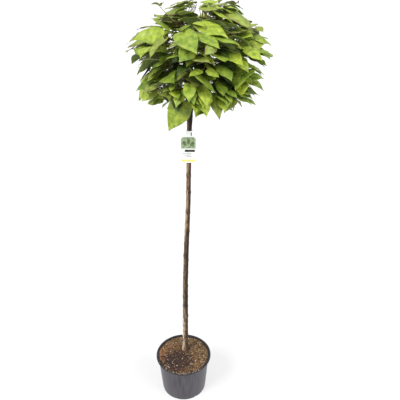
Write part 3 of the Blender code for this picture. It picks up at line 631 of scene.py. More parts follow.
rng = random.Random("potting mix")
litter = Joined()
for kind, count, sizes in LITTER:
    for _ in range(count):
        out = inner * math.sqrt(rng.uniform(0, LITTER_AREA))
        turn = rng.uniform(0, 2 * math.pi)
        x, y = out * math.cos(turn), out * math.sin(turn)
        if math.hypot(x - STEM_FOOT_X, y - STEM_FOOT_Y) < STEM_CLEAR:
            continue
        away = math.hypot(x - DAMP_MIDDLE[0], y - DAMP_MIDDLE[1]) + rng.gauss(0, DAMP_BLUR)
        at = Vector((x, y, soil_height(x, y)))
        scatter(rng, litter, kind, sizes, at, away > DAMP_RADIUS)
for _ in range(LIP_CRUMBS):
    turn = rng.gauss(-math.pi / 2, LIP_CRUMB_SPREAD)
    out = rng.uniform(*LIP_CRUMB_RING)
    at = Vector((out * math.cos(turn), out * math.sin(turn), POT_HEIGHT))
    crumb = lump(rng, at, rng.uniform(*LIP_CRUMB_SIZES))
    litter.add(crumb, rng.choice((CRUMB, BARK, BARK, CHIP)))
# Compost in each notch, near-black as painted shade.
for k in range(NOTCH_COUNT):
    angle = NOTCH_FIRST_ANGLE + 2 * math.pi * k / NOTCH_COUNT
    at = Vector((math.cos(angle), math.sin(angle), 0)) * WASHED_RING
    corners, quads = lump(rng, at + Vector((0, 0, NOTCH_HEIGHT / 2)), WASHED_LUMP)
    litter.add(([(x, y, max(z, 0.0)) for x, y, z in corners], quads), SHADED_WET)
piece("soil_litter", litter.vertices, litter.faces, litter_skins, litter.slots, ["soil"])

# %% [markdown]
# ## Bark
# The stem's bark is thin and grey-brown. It is weathered pale near the foot, and redder
# under the crown, where it stays young; the darker colour there is painted shade of the
# crown. Cork pores, 1 to 2 mm long, dot it as pale specks, drawn here at 4 mm so that
# they show. The colour runs by height, with streaks four times as long as wide, and the
# same specks lift the surface a little. The -X side, toward the key light, is painted
# lighter and the +X side darker, as painted light and shade.
# The twigs are this year's wood: olive on the light side and reddish brown.

# %% Bark
PORE_SPACING = 0.004
STREAK_WIDTH = 0.009
BARK_FOOT = 0.19
BARK_HEAD = 1.56

bark, tree, shader, place = start_material("weathered_bark_with_painted_light", "#8A7763", 0.86, 1.45)
axes = node(tree, "ShaderNodeSeparateXYZ", {"Vector": place})
height = node(tree, "ShaderNodeMapRange", {"Value": axes.outputs["Z"], "From Min": BARK_FOOT,
                                           "From Max": BARK_HEAD})
# The ramp's top stops darken the bark under the crown as painted shade of the crown.
by_height = node(tree, "ShaderNodeValToRGB", {"Fac": height.outputs["Result"]},
                 stops=[(0.0, "#978873"), (1.0, "#3E2C20"), (0.045, "#BDB4A4"), (0.16, "#B9B0A0"),
                        (0.22, "#77674F"), (0.50, "#6E5E4A"), (0.57, "#B09E89"), (0.77, "#A8947E"),
                        (0.86, "#64503E")])
long_streaks = node(tree, "ShaderNodeMapping", {"Vector": place, "Scale": (1.0, 1.0, 0.25)})
streaks = node(tree, "ShaderNodeTexNoise", {"Vector": long_streaks.outputs["Vector"],
                                            "Scale": 1 / STREAK_WIDTH, "Detail": 5.0,
                                            "Roughness": 0.65})
blotch = node(tree, "ShaderNodeValToRGB", {"Fac": streaks.outputs["Fac"]},
              stops=[(0.42, "#1C140F"), (0.58, "#E6DDD0")])
mottled = node(tree, "ShaderNodeMix", {"Factor": 0.80, 6: by_height.outputs["Color"],
                                       7: blotch.outputs["Color"]},
               data_type="RGBA", blend_type="OVERLAY")
flat_pores = node(tree, "ShaderNodeMapping", {"Vector": place, "Scale": (1.0, 1.0, 1.8)})
pores = node(tree, "ShaderNodeTexVoronoi", {"Vector": flat_pores.outputs["Vector"],
                                            "Scale": 1 / PORE_SPACING})
spot = node(tree, "ShaderNodeMapRange", {"Value": pores.outputs["Distance"], "From Min": 0.26,
                                         "From Max": 0.14, "To Max": 0.70})
colour = node(tree, "ShaderNodeMix", {"Factor": spot.outputs["Result"], 6: mottled.outputs[2],
                                      7: linear("#C9BCA8")}, data_type="RGBA")
# Painted light and shade: the bark is lighter on its -X side, toward the key light, and darker on
# +X.
skin = node(tree, "ShaderNodeTexCoord").outputs["Normal"]
bearing = node(tree, "ShaderNodeSeparateXYZ", {"Vector": skin})
painted_shade_share = node(tree, "ShaderNodeMapRange", {"Value": bearing.outputs["X"], "From Min": -0.9,
                                          "From Max": 0.9})
painted_side_light = node(tree, "ShaderNodeValToRGB", {"Fac": painted_shade_share.outputs["Result"]},
               stops=[(0.0, "#FFFFFF"), (1.0, "#5A4A3C"), (0.30, "#C4B5A4"), (0.60, "#6E5C4B")])
painted_side_colour = node(tree, "ShaderNodeMix", {"Factor": 1.0, 6: colour.outputs[2],
                                     7: painted_side_light.outputs["Color"]},
             data_type="RGBA", blend_type="MULTIPLY")
tree.links.new(painted_side_colour.outputs[2], shader.inputs["Base Color"])
lift = node(tree, "ShaderNodeMath", {0: spot.outputs["Result"], 1: 0.6,
                                     2: streaks.outputs["Fac"]}, operation="MULTIPLY_ADD")
relief = node(tree, "ShaderNodeBump", {"Height": lift.outputs["Value"], "Strength": 0.6,
                                       "Distance": 0.0008})
tree.links.new(relief.outputs["Normal"], shader.inputs["Normal"])


def wood_material(name, dark, light, roughness, size):
    """Young wood: two shades in patches, with a slight ridge to each."""
    material, tree, shader, _, patches = two_shades(name, dark, light, roughness, 1.45, size, 4.0)
    relief = node(tree, "ShaderNodeBump", {"Height": patches.outputs["Fac"], "Strength": 0.4,
                                           "Distance": 0.0005})
    tree.links.new(relief.outputs["Normal"], shader.inputs["Normal"])
    return material


bough_bark = wood_material("young_bark", "#2E2019", "#5A4433", 0.80, 0.006)
twig_bark = wood_material("green_twig", "#463E26", "#6C5D38", 0.70, 0.008)
stalk_skin = wood_material("leaf_stalk", "#6C7834", "#85703F", 0.55, 0.012)
print("bark, bough, twig and stalk")

# %% [markdown]
# ## Stem
# The stem leans a little and flares at its foot, where it stands in the soil. Catalpas
# drop their leaves from whorls of three, and each leaf leaves a round scar with a raised
# rim and a hollow middle. Those scars, the swollen nodes that carry them, three healed
# pruning wounds and the knobby graft at the top are the stem's relief. They are too
# coarse for a bump map, so the rings of the mesh are pushed in and out to make them.

# %% Stem
STEM_STATIONS = (
    (0.0087, 0.2043, 0.0195), (0.0088, 0.2190, 0.0160), (0.0091, 0.2490, 0.0140),
    (0.0107, 0.3800, 0.0132), (0.0143, 0.6300, 0.0124), (0.0226, 0.8600, 0.0114),
    (0.0330, 1.0700, 0.0106), (0.0375, 1.2600, 0.0100), (0.0419, 1.4200, 0.0103),
    (0.0426, 1.4600, 0.0128), (0.0430, 1.4900, 0.0150), (0.0432, 1.5200, 0.0162),
    (0.0434, 1.5440, 0.0150), (0.0434, 1.5570, 0.0105),
)
STEM_HEAD_Y = 0.052
STEM_SUNK = 0.007
STEM_RINGS = 560
STEM_MESH_SIDES = 44
STEM_FLARE = 0.0013
STEM_FLARE_HEIGHT = 0.06
WHORL_START = 0.30
WHORL_STOP = 1.44
WHORL_GAPS = (0.060, 0.105)
WHORL_SCARS = 3
NODE_SWELL = 0.0007
NODE_HALF = 0.009
SCAR_RADIUS = 0.0042
SCAR_RIM = 0.00085
SCAR_HOLLOW = 0.0006
WOUNDS = ((0.43, -0.6), (0.79, 3.6), (1.12, -1.2))
WOUND_RADIUS = 0.0055
WOUND_SWELL = 0.0022
WOUND_SWELL_RADIUS = 0.008
GRAFT_FOOT = 1.40
GRAFT_FADE = 0.06


def stem_y(height):
    """How far back the stem stands at a height."""
    foot, head = STEM_STATIONS[0][1], STEM_STATIONS[-1][1]
    return STEM_FOOT_Y + (STEM_HEAD_Y - STEM_FOOT_Y) * (height - foot) / (head - foot)


def scar(away, size):
    """Height of a round scar at a distance from its middle: a hollow with a rim."""
    return (SCAR_RIM * np.exp(-((away - size) / (0.38 * size)) ** 2)
            - SCAR_HOLLOW * np.exp(-(away / (0.6 * size)) ** 2))


def distances(rise, bearing, stretch=1.0):
    """How far each point of the bark is from a place on it, over the skin."""
    turn = (angles - bearing + np.pi) % (2 * np.pi) - np.pi
    return np.hypot(turn[None, :] * radius[:, None], stretch * (heights - rise)[:, None])


middles_x, places, radii = zip(*STEM_STATIONS)
heights = np.linspace(SOIL_TOP - STEM_SUNK, places[-1], STEM_RINGS)
middle_x = np.interp(heights, places, middles_x)
radius = np.interp(heights, places, radii)
angles = np.linspace(0, 2 * np.pi, STEM_MESH_SIDES, endpoint=False)
relief = np.zeros((STEM_RINGS, STEM_MESH_SIDES))
rng = random.Random("scars")
level, turn = WHORL_START, 0.4
while level < WHORL_STOP:
    relief += NODE_SWELL * np.exp(-((heights - level) / NODE_HALF) ** 2)[:, None]
    for k in range(WHORL_SCARS):
        bearing = turn + 2 * math.pi * k / WHORL_SCARS + rng.gauss(0, 0.1)
        relief += scar(distances(level + rng.gauss(0, 0.002), bearing), SCAR_RADIUS)
    level += rng.uniform(*WHORL_GAPS)
    turn += math.pi / WHORL_SCARS
for rise, bearing in WOUNDS:
    away = distances(rise, bearing, 0.7)
    relief += WOUND_SWELL * np.exp(-(away / WOUND_SWELL_RADIUS) ** 2)
    relief += 1.6 * scar(away, WOUND_RADIUS)
relief += STEM_FLARE * np.exp(-(heights - heights[0]) / STEM_FLARE_HEIGHT)[:, None]
knobby = np.clip((heights - GRAFT_FOOT) / GRAFT_FADE, 0, 1)
vertices = []
for ring, height in enumerate(heights):
    for k, angle in enumerate(angles):
        around = Vector((math.cos(angle), math.sin(angle), 0)) * 1.3
        coarse = noise.noise(around + Vector((0, 0, height * 26)))
        fine = noise.noise(around * 3.5 + Vector((0, 0, height * 110)))
        bumps = (0.0004 + 0.0012 * knobby[ring]) * coarse + 0.0003 * fine
        out = radius[ring] + relief[ring, k] + bumps
        vertices.append((middle_x[ring] + out * math.cos(angle),
                         stem_y(height) + out * math.sin(angle), height))
piece("stem_with_scars", vertices, ring_faces(STEM_RINGS, STEM_MESH_SIDES), [bark], None,
      ["stem"])

# %% [markdown]
# ## How the crown grows
# The crown is eleven masses of foliage in three tiers, each on its own bough and each
# within its own share of the dome. The rule is the same as the solid model's, with the
# same seeds, so the large leaves stand exactly where the solid ones do: each is aimed at
# a place just inside the dome's outline, its stalk runs back to a joint of a twig, and
# of several thousand tries the one that stands most in the open is kept. A try that
# leaves its mass's space, or touches a limb or a leaf, is passed over.

# %% Boughs and spaces
CROWN_X = 0.087
CROWN_Y = 0.052
CROWN_OUTLINE = (
    (1.440, 0.088), (1.480, 0.150), (1.512, 0.260), (1.560, 0.258), (1.620, 0.248),
    (1.665, 0.264), (1.735, 0.292), (1.785, 0.256), (1.830, 0.218), (1.862, 0.178),
    (1.890, 0.120), (1.897, 0.062),
)
SKIRT_HEM = 1.470
SKIRT_RISE = 0.24
SKIRT_CUT = 6.0
SKIRT_HALF_WIDTH = 0.08
TIERS = (
    {"name": "low", "count": 5, "out": 0.145, "height": 1.598, "bearing": 34.0,
     "foot_height": 1.508, "foot_rise": 30.0, "bough": 0.070, "foot_radius": 0.0052},
    {"name": "high", "count": 4, "out": 0.135, "height": 1.735, "bearing": 13.0,
     "foot_height": 1.534, "foot_rise": 50.0, "bough": 0.110, "foot_radius": 0.0050},
    {"name": "top", "count": 2, "out": 0.065, "height": 1.835, "bearing": 170.0,
     "foot_height": 1.549, "foot_rise": 80.0, "bough": 0.165, "foot_radius": 0.0044},
)
OUT_SPREAD = (0.94, 1.06)
HEIGHT_SPREAD = 0.012
GAP = 0.0003
STEM_SIDES = 14
BOUGH_TIP_RADIUS = 0.0038
BOUGH_SIDES = 7
BOUGH_RINGS = 5
SPACE_SLOPE = 0.35
SPACE_WALL = 0.0010


def stem_at(height):
    """Middle and radius of the stem at a height."""
    for lower, upper in zip(STEM_STATIONS, STEM_STATIONS[1:]):
        if height <= upper[1]:
            t = (height - lower[1]) / (upper[1] - lower[1])
            x = lower[0] + (upper[0] - lower[0]) * t
            return Vector((x, stem_y(height), height)), lower[2] + (upper[2] - lower[2]) * t
    x, _, radius = STEM_STATIONS[-1]
    return Vector((x, stem_y(height), height)), radius


def direction(bearing, rise):
    """Unit vector at a bearing about Z and a rise above level, in radians."""
    return Vector((math.cos(bearing) * math.cos(rise), math.sin(bearing) * math.cos(rise),
                   math.sin(rise)))


def plan_masses():
    """Every foliage mass: its name, its middle, and the line of the bough under it."""
    masses = []
    for tier in TIERS:
        for k in range(tier["count"]):
            bearing = math.radians(tier["bearing"]) + 2 * math.pi * k / tier["count"]
            name = f"{tier['name']}_{k + 1}"
            rng = random.Random(f"place {name}")
            out = tier["out"] * rng.uniform(*OUT_SPREAD)
            height = tier["height"] + rng.uniform(-HEIGHT_SPREAD, HEIGHT_SPREAD)
            middle = Vector((CROWN_X + out * math.cos(bearing), CROWN_Y + out * math.sin(bearing),
                             height))
            axis, radius = stem_at(tier["foot_height"])
            flat = Vector((middle.x - axis.x, middle.y - axis.y, 0))
            leave = math.atan2(flat.y, flat.x) if tier["name"] != "top" else bearing
            rise = math.radians(tier["foot_rise"])
            outward = direction(leave, rise)
            seat = max(0.6 * radius * math.cos(rise), 1.3 * tier["foot_radius"])
            foot = axis + Vector((seat * math.cos(leave), seat * math.sin(leave), 0))
            run = (middle - foot).normalized()
            tip = foot + (radius + tier["bough"]) * (0.5 * outward + 0.5 * run).normalized()
            bend = foot + 0.5 * (radius + tier["bough"]) * outward
            line = [foot.lerp(bend, t).lerp(bend.lerp(tip, t), t)
                    for t in (n / (BOUGH_RINGS - 1) for n in range(BOUGH_RINGS))]
            masses.append({"name": name, "middle": middle, "bough": line,
                           "foot_radius": tier["foot_radius"], "seed": f"leaves {name}"})
    return masses


def bough_radii(mass):
    """A bough's radius at each of its points."""
    count = len(mass["bough"])
    return [mass["foot_radius"] + (BOUGH_TIP_RADIUS - mass["foot_radius"]) * n / (count - 1)
            for n in range(count)]


def between(stations, at):
    """The value at a place between rows of (place, value), and 0 beyond them."""
    for (low, near), (high, far) in zip(stations, stations[1:]):
        if low <= at <= high:
            return near + (far - near) * (at - low) / (high - low)
    return 0.0


def off_axis(point):
    """How far a point is from the crown's upright axis."""
    return math.hypot(point.x - CROWN_X, point.y - CROWN_Y)


def in_crown(point):
    """Whether a point is under the dome, and above the skirt's hem."""
    front, aside = CROWN_Y - point.y, abs(point.x - CROWN_X)
    corner = max(0.0, front) * max(0.0, aside - SKIRT_HALF_WIDTH)
    hem = SKIRT_HEM + SKIRT_RISE * front + SKIRT_CUT * corner
    return point.z > hem and off_axis(point) < between(CROWN_OUTLINE, point.z)


def crown_depth(point):
    """How far under the crown's outline a point inside it lies."""
    here = Vector((off_axis(point), point.z))
    profile = [Vector((radius, height)) for height, radius in CROWN_OUTLINE]
    profile = [Vector((0, profile[0].y))] + profile + [Vector((0, profile[-1].y))]
    depths = []
    for a, b in zip(profile, profile[1:]):
        t = min(1.0, max(0.0, (here - a).dot(b - a) / (b - a).length_squared))
        depths.append((here - a.lerp(b, t)).length)
    return min(depths)


def sloped(point):
    """A point of the space in which the walls between masses are plane."""
    return Vector((point.x, point.y, point.z + SPACE_SLOPE * off_axis(point)))


def in_own_space(points, mass):
    """A mass's space is what lies nearer to its middle than to any other mass's."""
    moved = [sloped(point) for point in points]
    return not any((point - wall).dot(normal) > -SPACE_WALL
                   for wall, normal in mass["walls"] for point in moved)


masses = plan_masses()
spots = [sloped(mass["middle"]) for mass in masses]
for mass, spot in zip(masses, spots):
    mass["walls"] = [((spot + other) / 2, (other - spot).normalized())
                     for other in spots if other is not spot]
print(f"{len(masses)} masses of foliage")

# %% [markdown]
# ## A leaf's shape and how it hangs
# A catalpa leaf is a heart with a drawn-out tip. Its blade bows down along the midrib and
# folds and arches to the sides, and leaves hang steeply in the skirt and lie almost flat
# on top. Every leaf gets its own numbers for this, and the same formula serves the
# clearance test here and the detailed mesh below.

# %% Leaves
LAYERS = (
    {"depth": (0.000, 0.036), "count": 19, "scale": 1.0},
    {"depth": (0.036, 0.095), "count": 8, "scale": 1.0},
)
TIP_ASIDE = 0.20
TIP_BELOW = 0.17
TIP_ABOVE = 0.13
LEAF_LENGTH = 0.113
LEAF_WIDTH_SHARE = 0.78
LEAF_DROOP = ((0.0, 66.0), (0.14, 42.0), (0.33, 24.0), (0.62, 13.0), (1.0, 4.0))
DROOP_SPREAD = 12.0
HEADING_SPREAD = 23.0
ROLL_SPREAD = 18.0
LEAF_SIZES = (0.68, 1.14)
LEAF_WIDTHS = (0.74, 1.00)
LEAF_BOWS = (0.15, 0.90)
LEAF_FOLDS = (-0.05, 0.36)
LEAF_ARCHES = (0.25, 0.75)
LOW_LEAVES = (
    {"mass": "low_4", "tip": (-0.034, -0.095, 1.448), "heading": 195.0, "droop": 67.0,
     "roll": 55.0, "length": 0.136, "wide": 0.88, "bow": 0.35, "fold": 0.12, "arch": 0.40,
     "tone": "fresh"},
    {"mass": "low_5", "tip": (0.160, -0.056, 1.481), "heading": -60.0, "droop": 66.0,
     "roll": 0.0, "length": 0.100, "wide": 0.78, "bow": 0.55, "fold": 0.10, "arch": 0.45,
     "tone": "fresh"},
)
EDGE_STEPS = (0.12, 0.40, 0.70)
RIB_STEPS = (0.28, 0.60)
STALK_RADIUS = 0.0014
STALK_STRAIGHT = 0.4
STALK_SHORT = 0.020
STALK_LONG = 0.150
STALK_BACKWARD = -0.2
BLADE_CLEARANCE = 0.0028
BLADE_MIDDLE = 0.4


def leaf_outline(t):
    """Right edge of a heart-shaped blade of length 1: x and y from its notch, t 0, to
    its drawn-out tip, t 1."""
    forward = t ** 1.2 - 0.25 * math.sin(2 * math.pi * t) * (1 - t) ** 2
    swell = math.sin(math.pi * t) ** 0.75 * (1 - 0.62 * t) * (1 - 0.6 * t ** 6) / 0.722
    return 0.5 * LEAF_WIDTH_SHARE * swell, forward


def bowed(leaf, x, y):
    """A point of the blade before it is turned and moved, for a blade of length 1. The
    blade bows down along its midrib, and folds up and arches down to its sides."""
    turn = leaf["bow"] * y
    x *= leaf["wide"]
    side = leaf["fold"] * abs(x) - leaf["arch"] * x * x
    along = math.sin(turn) / leaf["bow"] + side * math.sin(turn)
    up = (math.cos(turn) - 1) / leaf["bow"] + side * math.cos(turn)
    return Vector((x, along, up))


def leaf_point(leaf, x, y):
    """A point of a leaf's blade in the plant's frame."""
    return leaf["base"] + leaf["length"] * (leaf["frame"] @ bowed(leaf, x, y))


def blade_shape(leaf, thick):
    """A blade as a thin lens: one edge, and a midrib that is thick above and below."""
    up = leaf["frame"] @ Vector((0, 0, thick / 2))
    right = [leaf_outline(t) for t in EDGE_STEPS]
    outline = [(0.0, 0.0)] + right + [(0.0, 1.0)] + [(-x, y) for x, y in reversed(right)]
    vertices = [leaf_point(leaf, x, y) for x, y in outline]
    above = [leaf_point(leaf, 0, y) + up for y in RIB_STEPS]
    below = [leaf_point(leaf, 0, y) - up for y in RIB_STEPS]
    near, far = len(outline), len(outline) + 1
    top = [(0, near, 1), (1, near, 2), (2, near, far), (2, far, 3), (3, far, 4),
           (4, far, 5), (5, far, 6), (6, far, near), (6, near, 7), (7, near, 0)]
    down = {near: near + 2, far: far + 2}
    bottom = [tuple(down.get(n, n) for n in reversed(face)) for face in top]
    return vertices + above + below, top + bottom


def stalk_line(leaf):
    """Three points of a leaf's stalk, from its blade's notch back to its twig."""
    back = (leaf["base"] - leaf["joint"]).length * STALK_STRAIGHT
    bend = leaf["base"] - back * (leaf["frame"] @ Vector((0, 1, 0)))
    return [leaf["base"], bend, leaf["joint"]]


def blade_frame(heading, droop, roll):
    """Axes of a blade as columns: its right side, its way to the tip, and its face."""
    along = direction(heading, -droop)
    face = direction(heading, math.pi / 2 - droop)
    side = along.cross(face)
    turned_face = face * math.cos(roll) - side * math.sin(roll)
    return Matrix((along.cross(turned_face), along, turned_face)).transposed()


def nearest_joint(leaf, joints):
    """The nearest joint that a leaf's stalk can reach without turning back, or None."""
    way = leaf["frame"] @ Vector((0, 1, 0))
    fits = [joint for joint in joints
            if STALK_SHORT < (leaf["base"] - joint).length < STALK_LONG
            and (leaf["base"] - joint).normalized().dot(way) > STALK_BACKWARD]
    return min(fits, key=lambda joint: (leaf["base"] - joint).length, default=None)


def low_leaf(given, joints):
    """A leaf that hangs below the skirt, beside the stem."""
    leaf = dict(given)
    heading, droop, roll = (math.radians(leaf[key]) for key in ("heading", "droop", "roll"))
    leaf["frame"] = blade_frame(heading, droop - leaf["bow"] / 2, roll)
    leaf["base"] = Vector(leaf["tip"]) - leaf["length"] * (leaf["frame"] @ bowed(leaf, 0, 1))
    leaf["joint"] = nearest_joint(leaf, joints)
    return leaf


def draw_leaf(rng, mass, joints, layer):
    """One try at a leaf: a place for its tip, how its blade hangs there, and the joint
    that its stalk comes from. Blades lie flatter the higher they are."""
    tip = mass["middle"] + Vector((rng.uniform(-TIP_ASIDE, TIP_ASIDE),
                                   rng.uniform(-TIP_ASIDE, TIP_ASIDE),
                                   rng.uniform(-TIP_BELOW, TIP_ABOVE)))
    if not in_crown(tip) or not in_own_space([tip], mass):
        return None
    if not layer["depth"][0] < crown_depth(tip) < layer["depth"][1]:
        return None
    low, high = CROWN_OUTLINE[0][0], CROWN_OUTLINE[-1][0]
    hang = between(LEAF_DROOP, (tip.z - low) / (high - low))
    bow = rng.uniform(*LEAF_BOWS)
    droop = math.radians(hang + rng.gauss(0, DROOP_SPREAD)) - bow / 2
    outward = math.atan2(tip.y - CROWN_Y, tip.x - CROWN_X)
    heading = outward + math.radians(rng.gauss(0, HEADING_SPREAD))
    roll = math.radians(rng.gauss(0, ROLL_SPREAD))
    leaf = {"frame": blade_frame(heading, droop, roll), "bow": bow,
            "length": LEAF_LENGTH * rng.uniform(*LEAF_SIZES) * layer["scale"],
            "wide": rng.uniform(*LEAF_WIDTHS),
            "fold": rng.uniform(*LEAF_FOLDS), "arch": rng.uniform(*LEAF_ARCHES)}
    leaf["base"] = tip - leaf["length"] * (leaf["frame"] @ bowed(leaf, 0, 1))
    if not in_crown(leaf["base"]) or not in_own_space([leaf["base"]], mass):
        return None
    leaf["joint"] = nearest_joint(leaf, joints)
    return leaf if leaf["joint"] else None


print(f"{sum(layer['count'] for layer in LAYERS)} large leaves to a mass at most")

# %% [markdown]
# ## Twigs
# Each mass has one stem twig that goes on from its bough, and up to four side twigs. A
# leaf can stand at any joint along them, and each joint carries one leaf.

# %% Twigs
STEM_TWIG_SIDES = 4
SIDE_TWIG_SIDES = 4
TWIG_TIP_RADIUS = 0.0023
TWIG_STEPS = 4
SIDE_TWIGS = 4
SIDE_TWIG_LENGTH = 0.085
SIDE_TWIG_SIZES = (0.7, 1.1)
SIDE_TWIG_ROOTS = (0.4, 0.95)
SIDE_TWIG_RISES = (-35, 55)
SIDE_TWIG_LIFT = 0.10
SIDE_TWIG_DEPTH = 0.03
SIDE_TWIG_CLEARANCE = 0.003
JOINT_SPACING = 0.011
TWIG_TRIES = 60


def tree_of(vertices, faces):
    """A search tree of a shape, which tells fast what it overlaps."""
    return BVHTree.FromPolygons([Vector(v) for v in vertices], faces)


def touches(tree, others):
    """Whether a shape's search tree overlaps any of the others."""
    return any(tree.overlap(other) for other in others)


def twig_tree(twig, clearance=0.0):
    """A twig's search tree, made thicker by a clearance."""
    radii = [radius + clearance for radius in twig["radii"]]
    return tree_of(*tube_shape(twig["line"], radii, twig["sides"]))


def stem_twig(mass):
    """The stem of a mass: it grows on from its bough and bends to the mass's middle."""
    foot, before = mass["bough"][-1], mass["bough"][-2]
    onward = (foot - before).normalized()
    line = [foot + onward * GAP]
    reach = (mass["middle"] - foot).length + 0.02
    for n in range(TWIG_STEPS):
        aim = (mass["middle"] - line[-1]).normalized()
        lean = onward.lerp(aim, n / (TWIG_STEPS - 1)).normalized()
        line.append(line[-1] + lean * reach / TWIG_STEPS)
    radii = [BOUGH_TIP_RADIUS + (TWIG_TIP_RADIUS - BOUGH_TIP_RADIUS) * n / TWIG_STEPS
             for n in range(TWIG_STEPS + 1)]
    return {"line": line, "radii": radii, "sides": STEM_TWIG_SIDES}


def side_twig(rng, stem, mass, limbs, ends):
    """A side twig: of several tries, the one whose end is furthest from other ends."""
    best, best_room = None, 0.0
    for _ in range(TWIG_TRIES):
        at = rng.uniform(*SIDE_TWIG_ROOTS) * TWIG_STEPS
        span = int(at)
        root = stem["line"][span].lerp(stem["line"][span + 1], at - span)
        way = direction(rng.uniform(0, 2 * math.pi), math.radians(rng.uniform(*SIDE_TWIG_RISES)))
        length = SIDE_TWIG_LENGTH * rng.uniform(*SIDE_TWIG_SIZES)
        end = root + way * length + Vector((0, 0, SIDE_TWIG_LIFT * length))
        line = [root, root + way * length * 0.5, end]
        radii = [TWIG_TIP_RADIUS * 1.2, TWIG_TIP_RADIUS * 1.1, TWIG_TIP_RADIUS]
        twig = {"line": line, "radii": radii, "sides": SIDE_TWIG_SIDES}
        room = min((end - other).length for other in ends)
        if room < best_room or not in_crown(end) or crown_depth(end) < SIDE_TWIG_DEPTH:
            continue
        if not in_own_space(line, mass) or touches(twig_tree(twig, SIDE_TWIG_CLEARANCE), limbs):
            continue
        best, best_room = twig, room
    return best


def joints_of(twig):
    """Points along a twig where leaves can stand."""
    found = []
    for a, b in zip(twig["line"], twig["line"][1:]):
        count = max(1, round((b - a).length / JOINT_SPACING))
        found += [a.lerp(b, (n + 0.7) / count) for n in range(count)]
    return found


print(f"a joint every {1000 * JOINT_SPACING:.0f} mm")

# %% [markdown]
# ## Grow
# The stem, the other boughs and the slot that the skirt leaves open in front of the stem
# are obstacles for every mass. After all the large leaves stand, the rule is carried on
# to fine twigs between them, and to the smaller leaves that these bear: young ones near
# the outline, and older ones deep inside, which close the view into the crown. They come
# last, so they don't change where the large ones go, and they leave the sides of the
# skirt open, where the photograph shows light between single leaves.

# %% Grow
PARTING_HALF_WIDTH = 0.013
PARTING_TOP = 1.518
PARTING_RISE = 0.24
PARTING_REACH = 0.35
LIMB_CLEARANCE = 0.001
TRIES = 9000
CROWDED = 0.090
FINE_TWIGS = 8
FINE_TWIG_TRIES = 60
FINE_TWIG_LENGTH = 0.045
FINE_TWIG_SIZES = (0.6, 1.2)
FINE_TWIG_RISES = (-20, 70)
FINE_TWIG_RADII = (0.0017, 0.0015, 0.0012)
FINE_TWIG_START = 0.003
FINE_TWIG_CLEARANCE = 0.0008
TOP_LEAVES = (
    {"mass": "top_1", "tip": (0.016, 0.020, 1.884), "heading": 184.0, "droop": 4.0},
    {"mass": "top_1", "tip": (0.052, -0.030, 1.868), "heading": -100.0, "droop": 18.0},
    {"mass": "top_2", "tip": (0.190, 0.020, 1.880), "heading": -8.0, "droop": 5.0},
)
# Olive on the top leaves is painted sheen.
TOP_LEAF = {"roll": 0.0, "length": 0.066, "wide": 0.88, "bow": 0.45, "fold": 0.14,
            "arch": 0.40, "tone": "olive"}
TOP_SIZES = (0.75, 1.1)
TOP_TRIES = 500
TOP_SHIFT = 0.014
TOP_TURN = 22.0
YOUNG_LAYER = {"depth": (0.000, 0.050), "count": 9, "scale": 0.64}
INNER_LAYER = {"depth": (0.045, 0.200), "count": 19, "scale": 0.80}
DEEP_LAYER = {"depth": (0.090, 0.260), "count": 9, "scale": 0.52}
LATE_TRIES = 2600
OPEN_SKIRT_TOP = 1.585
OPEN_SKIRT_HALF = 0.13


def parting_tree():
    """The slot in front of the stem as a closed wedge."""
    middle, _ = stem_at(PARTING_TOP)
    front, back, low = middle.y - PARTING_REACH, middle.y, STEM_STATIONS[0][1]
    high = PARTING_TOP + PARTING_RISE * (back - front)
    sides = [(front, low), (front, high), (back, PARTING_TOP), (back, low)]
    vertices = [Vector((middle.x + way * PARTING_HALF_WIDTH, y, z))
                for way in (-1, 1) for y, z in sides]
    faces = [(0, 1, 2, 3), (7, 6, 5, 4), (0, 4, 5, 1), (1, 5, 6, 2), (2, 6, 7, 3), (3, 7, 4, 0)]
    return tree_of(vertices, faces)


def leaf_trees(leaf):
    """A leaf's blade and its stalk, for the test of what touches them."""
    blade = tree_of(*blade_shape(leaf, BLADE_CLEARANCE))
    return blade, tree_of(*tube_shape(stalk_line(leaf), [STALK_RADIUS] * 3, 3))


def keep_leaf(mass, leaf, middles):
    """Let a leaf stand, as an obstacle for those that come after it."""
    mass["solid"] += leaf_trees(leaf)
    middles.append(leaf_point(leaf, 0, BLADE_MIDDLE))
    mass["joints"].remove(leaf["joint"])


def in_open_skirt(point):
    """Whether a point is where the sides of the skirt let the light through."""
    return point.z < OPEN_SKIRT_TOP and abs(point.x - CROWN_X) > OPEN_SKIRT_HALF


def add_leaves(mass, rng, layer, tries, middles):
    """Leaves of one layer. Each is the best of its tries: the one whose middle is
    furthest from the middles of the leaves that already stand."""
    grown = []
    for _ in range(layer["count"]):
        best, best_score = None, 0.0
        for _ in range(tries):
            leaf = draw_leaf(rng, mass, mass["joints"], layer)
            if leaf is None:
                continue
            middle = leaf_point(leaf, 0, BLADE_MIDDLE)
            if layer not in LAYERS and in_open_skirt(middle):
                continue
            score = min([(middle - m).length for m in middles] + [CROWDED])
            if score <= best_score:
                continue
            vertices, _ = blade_shape(leaf, BLADE_CLEARANCE)
            stalk = stalk_line(leaf)
            if not all(in_crown(v) for v in vertices):
                continue
            if not in_own_space(vertices + stalk[1:2], mass):
                continue
            blade, rod = leaf_trees(leaf)
            elbow = tree_of(*tube_shape(stalk[1:], [STALK_RADIUS * 1.5] * 2, 4))
            solid = mass["limbs"] + mass["solid"]
            if touches(blade, solid + mass["twig_trees"] + [elbow]) or touches(rod, solid):
                continue
            best, best_score = leaf, score
        if best:
            grown.append(best)
            keep_leaf(mass, best, middles)
    return grown


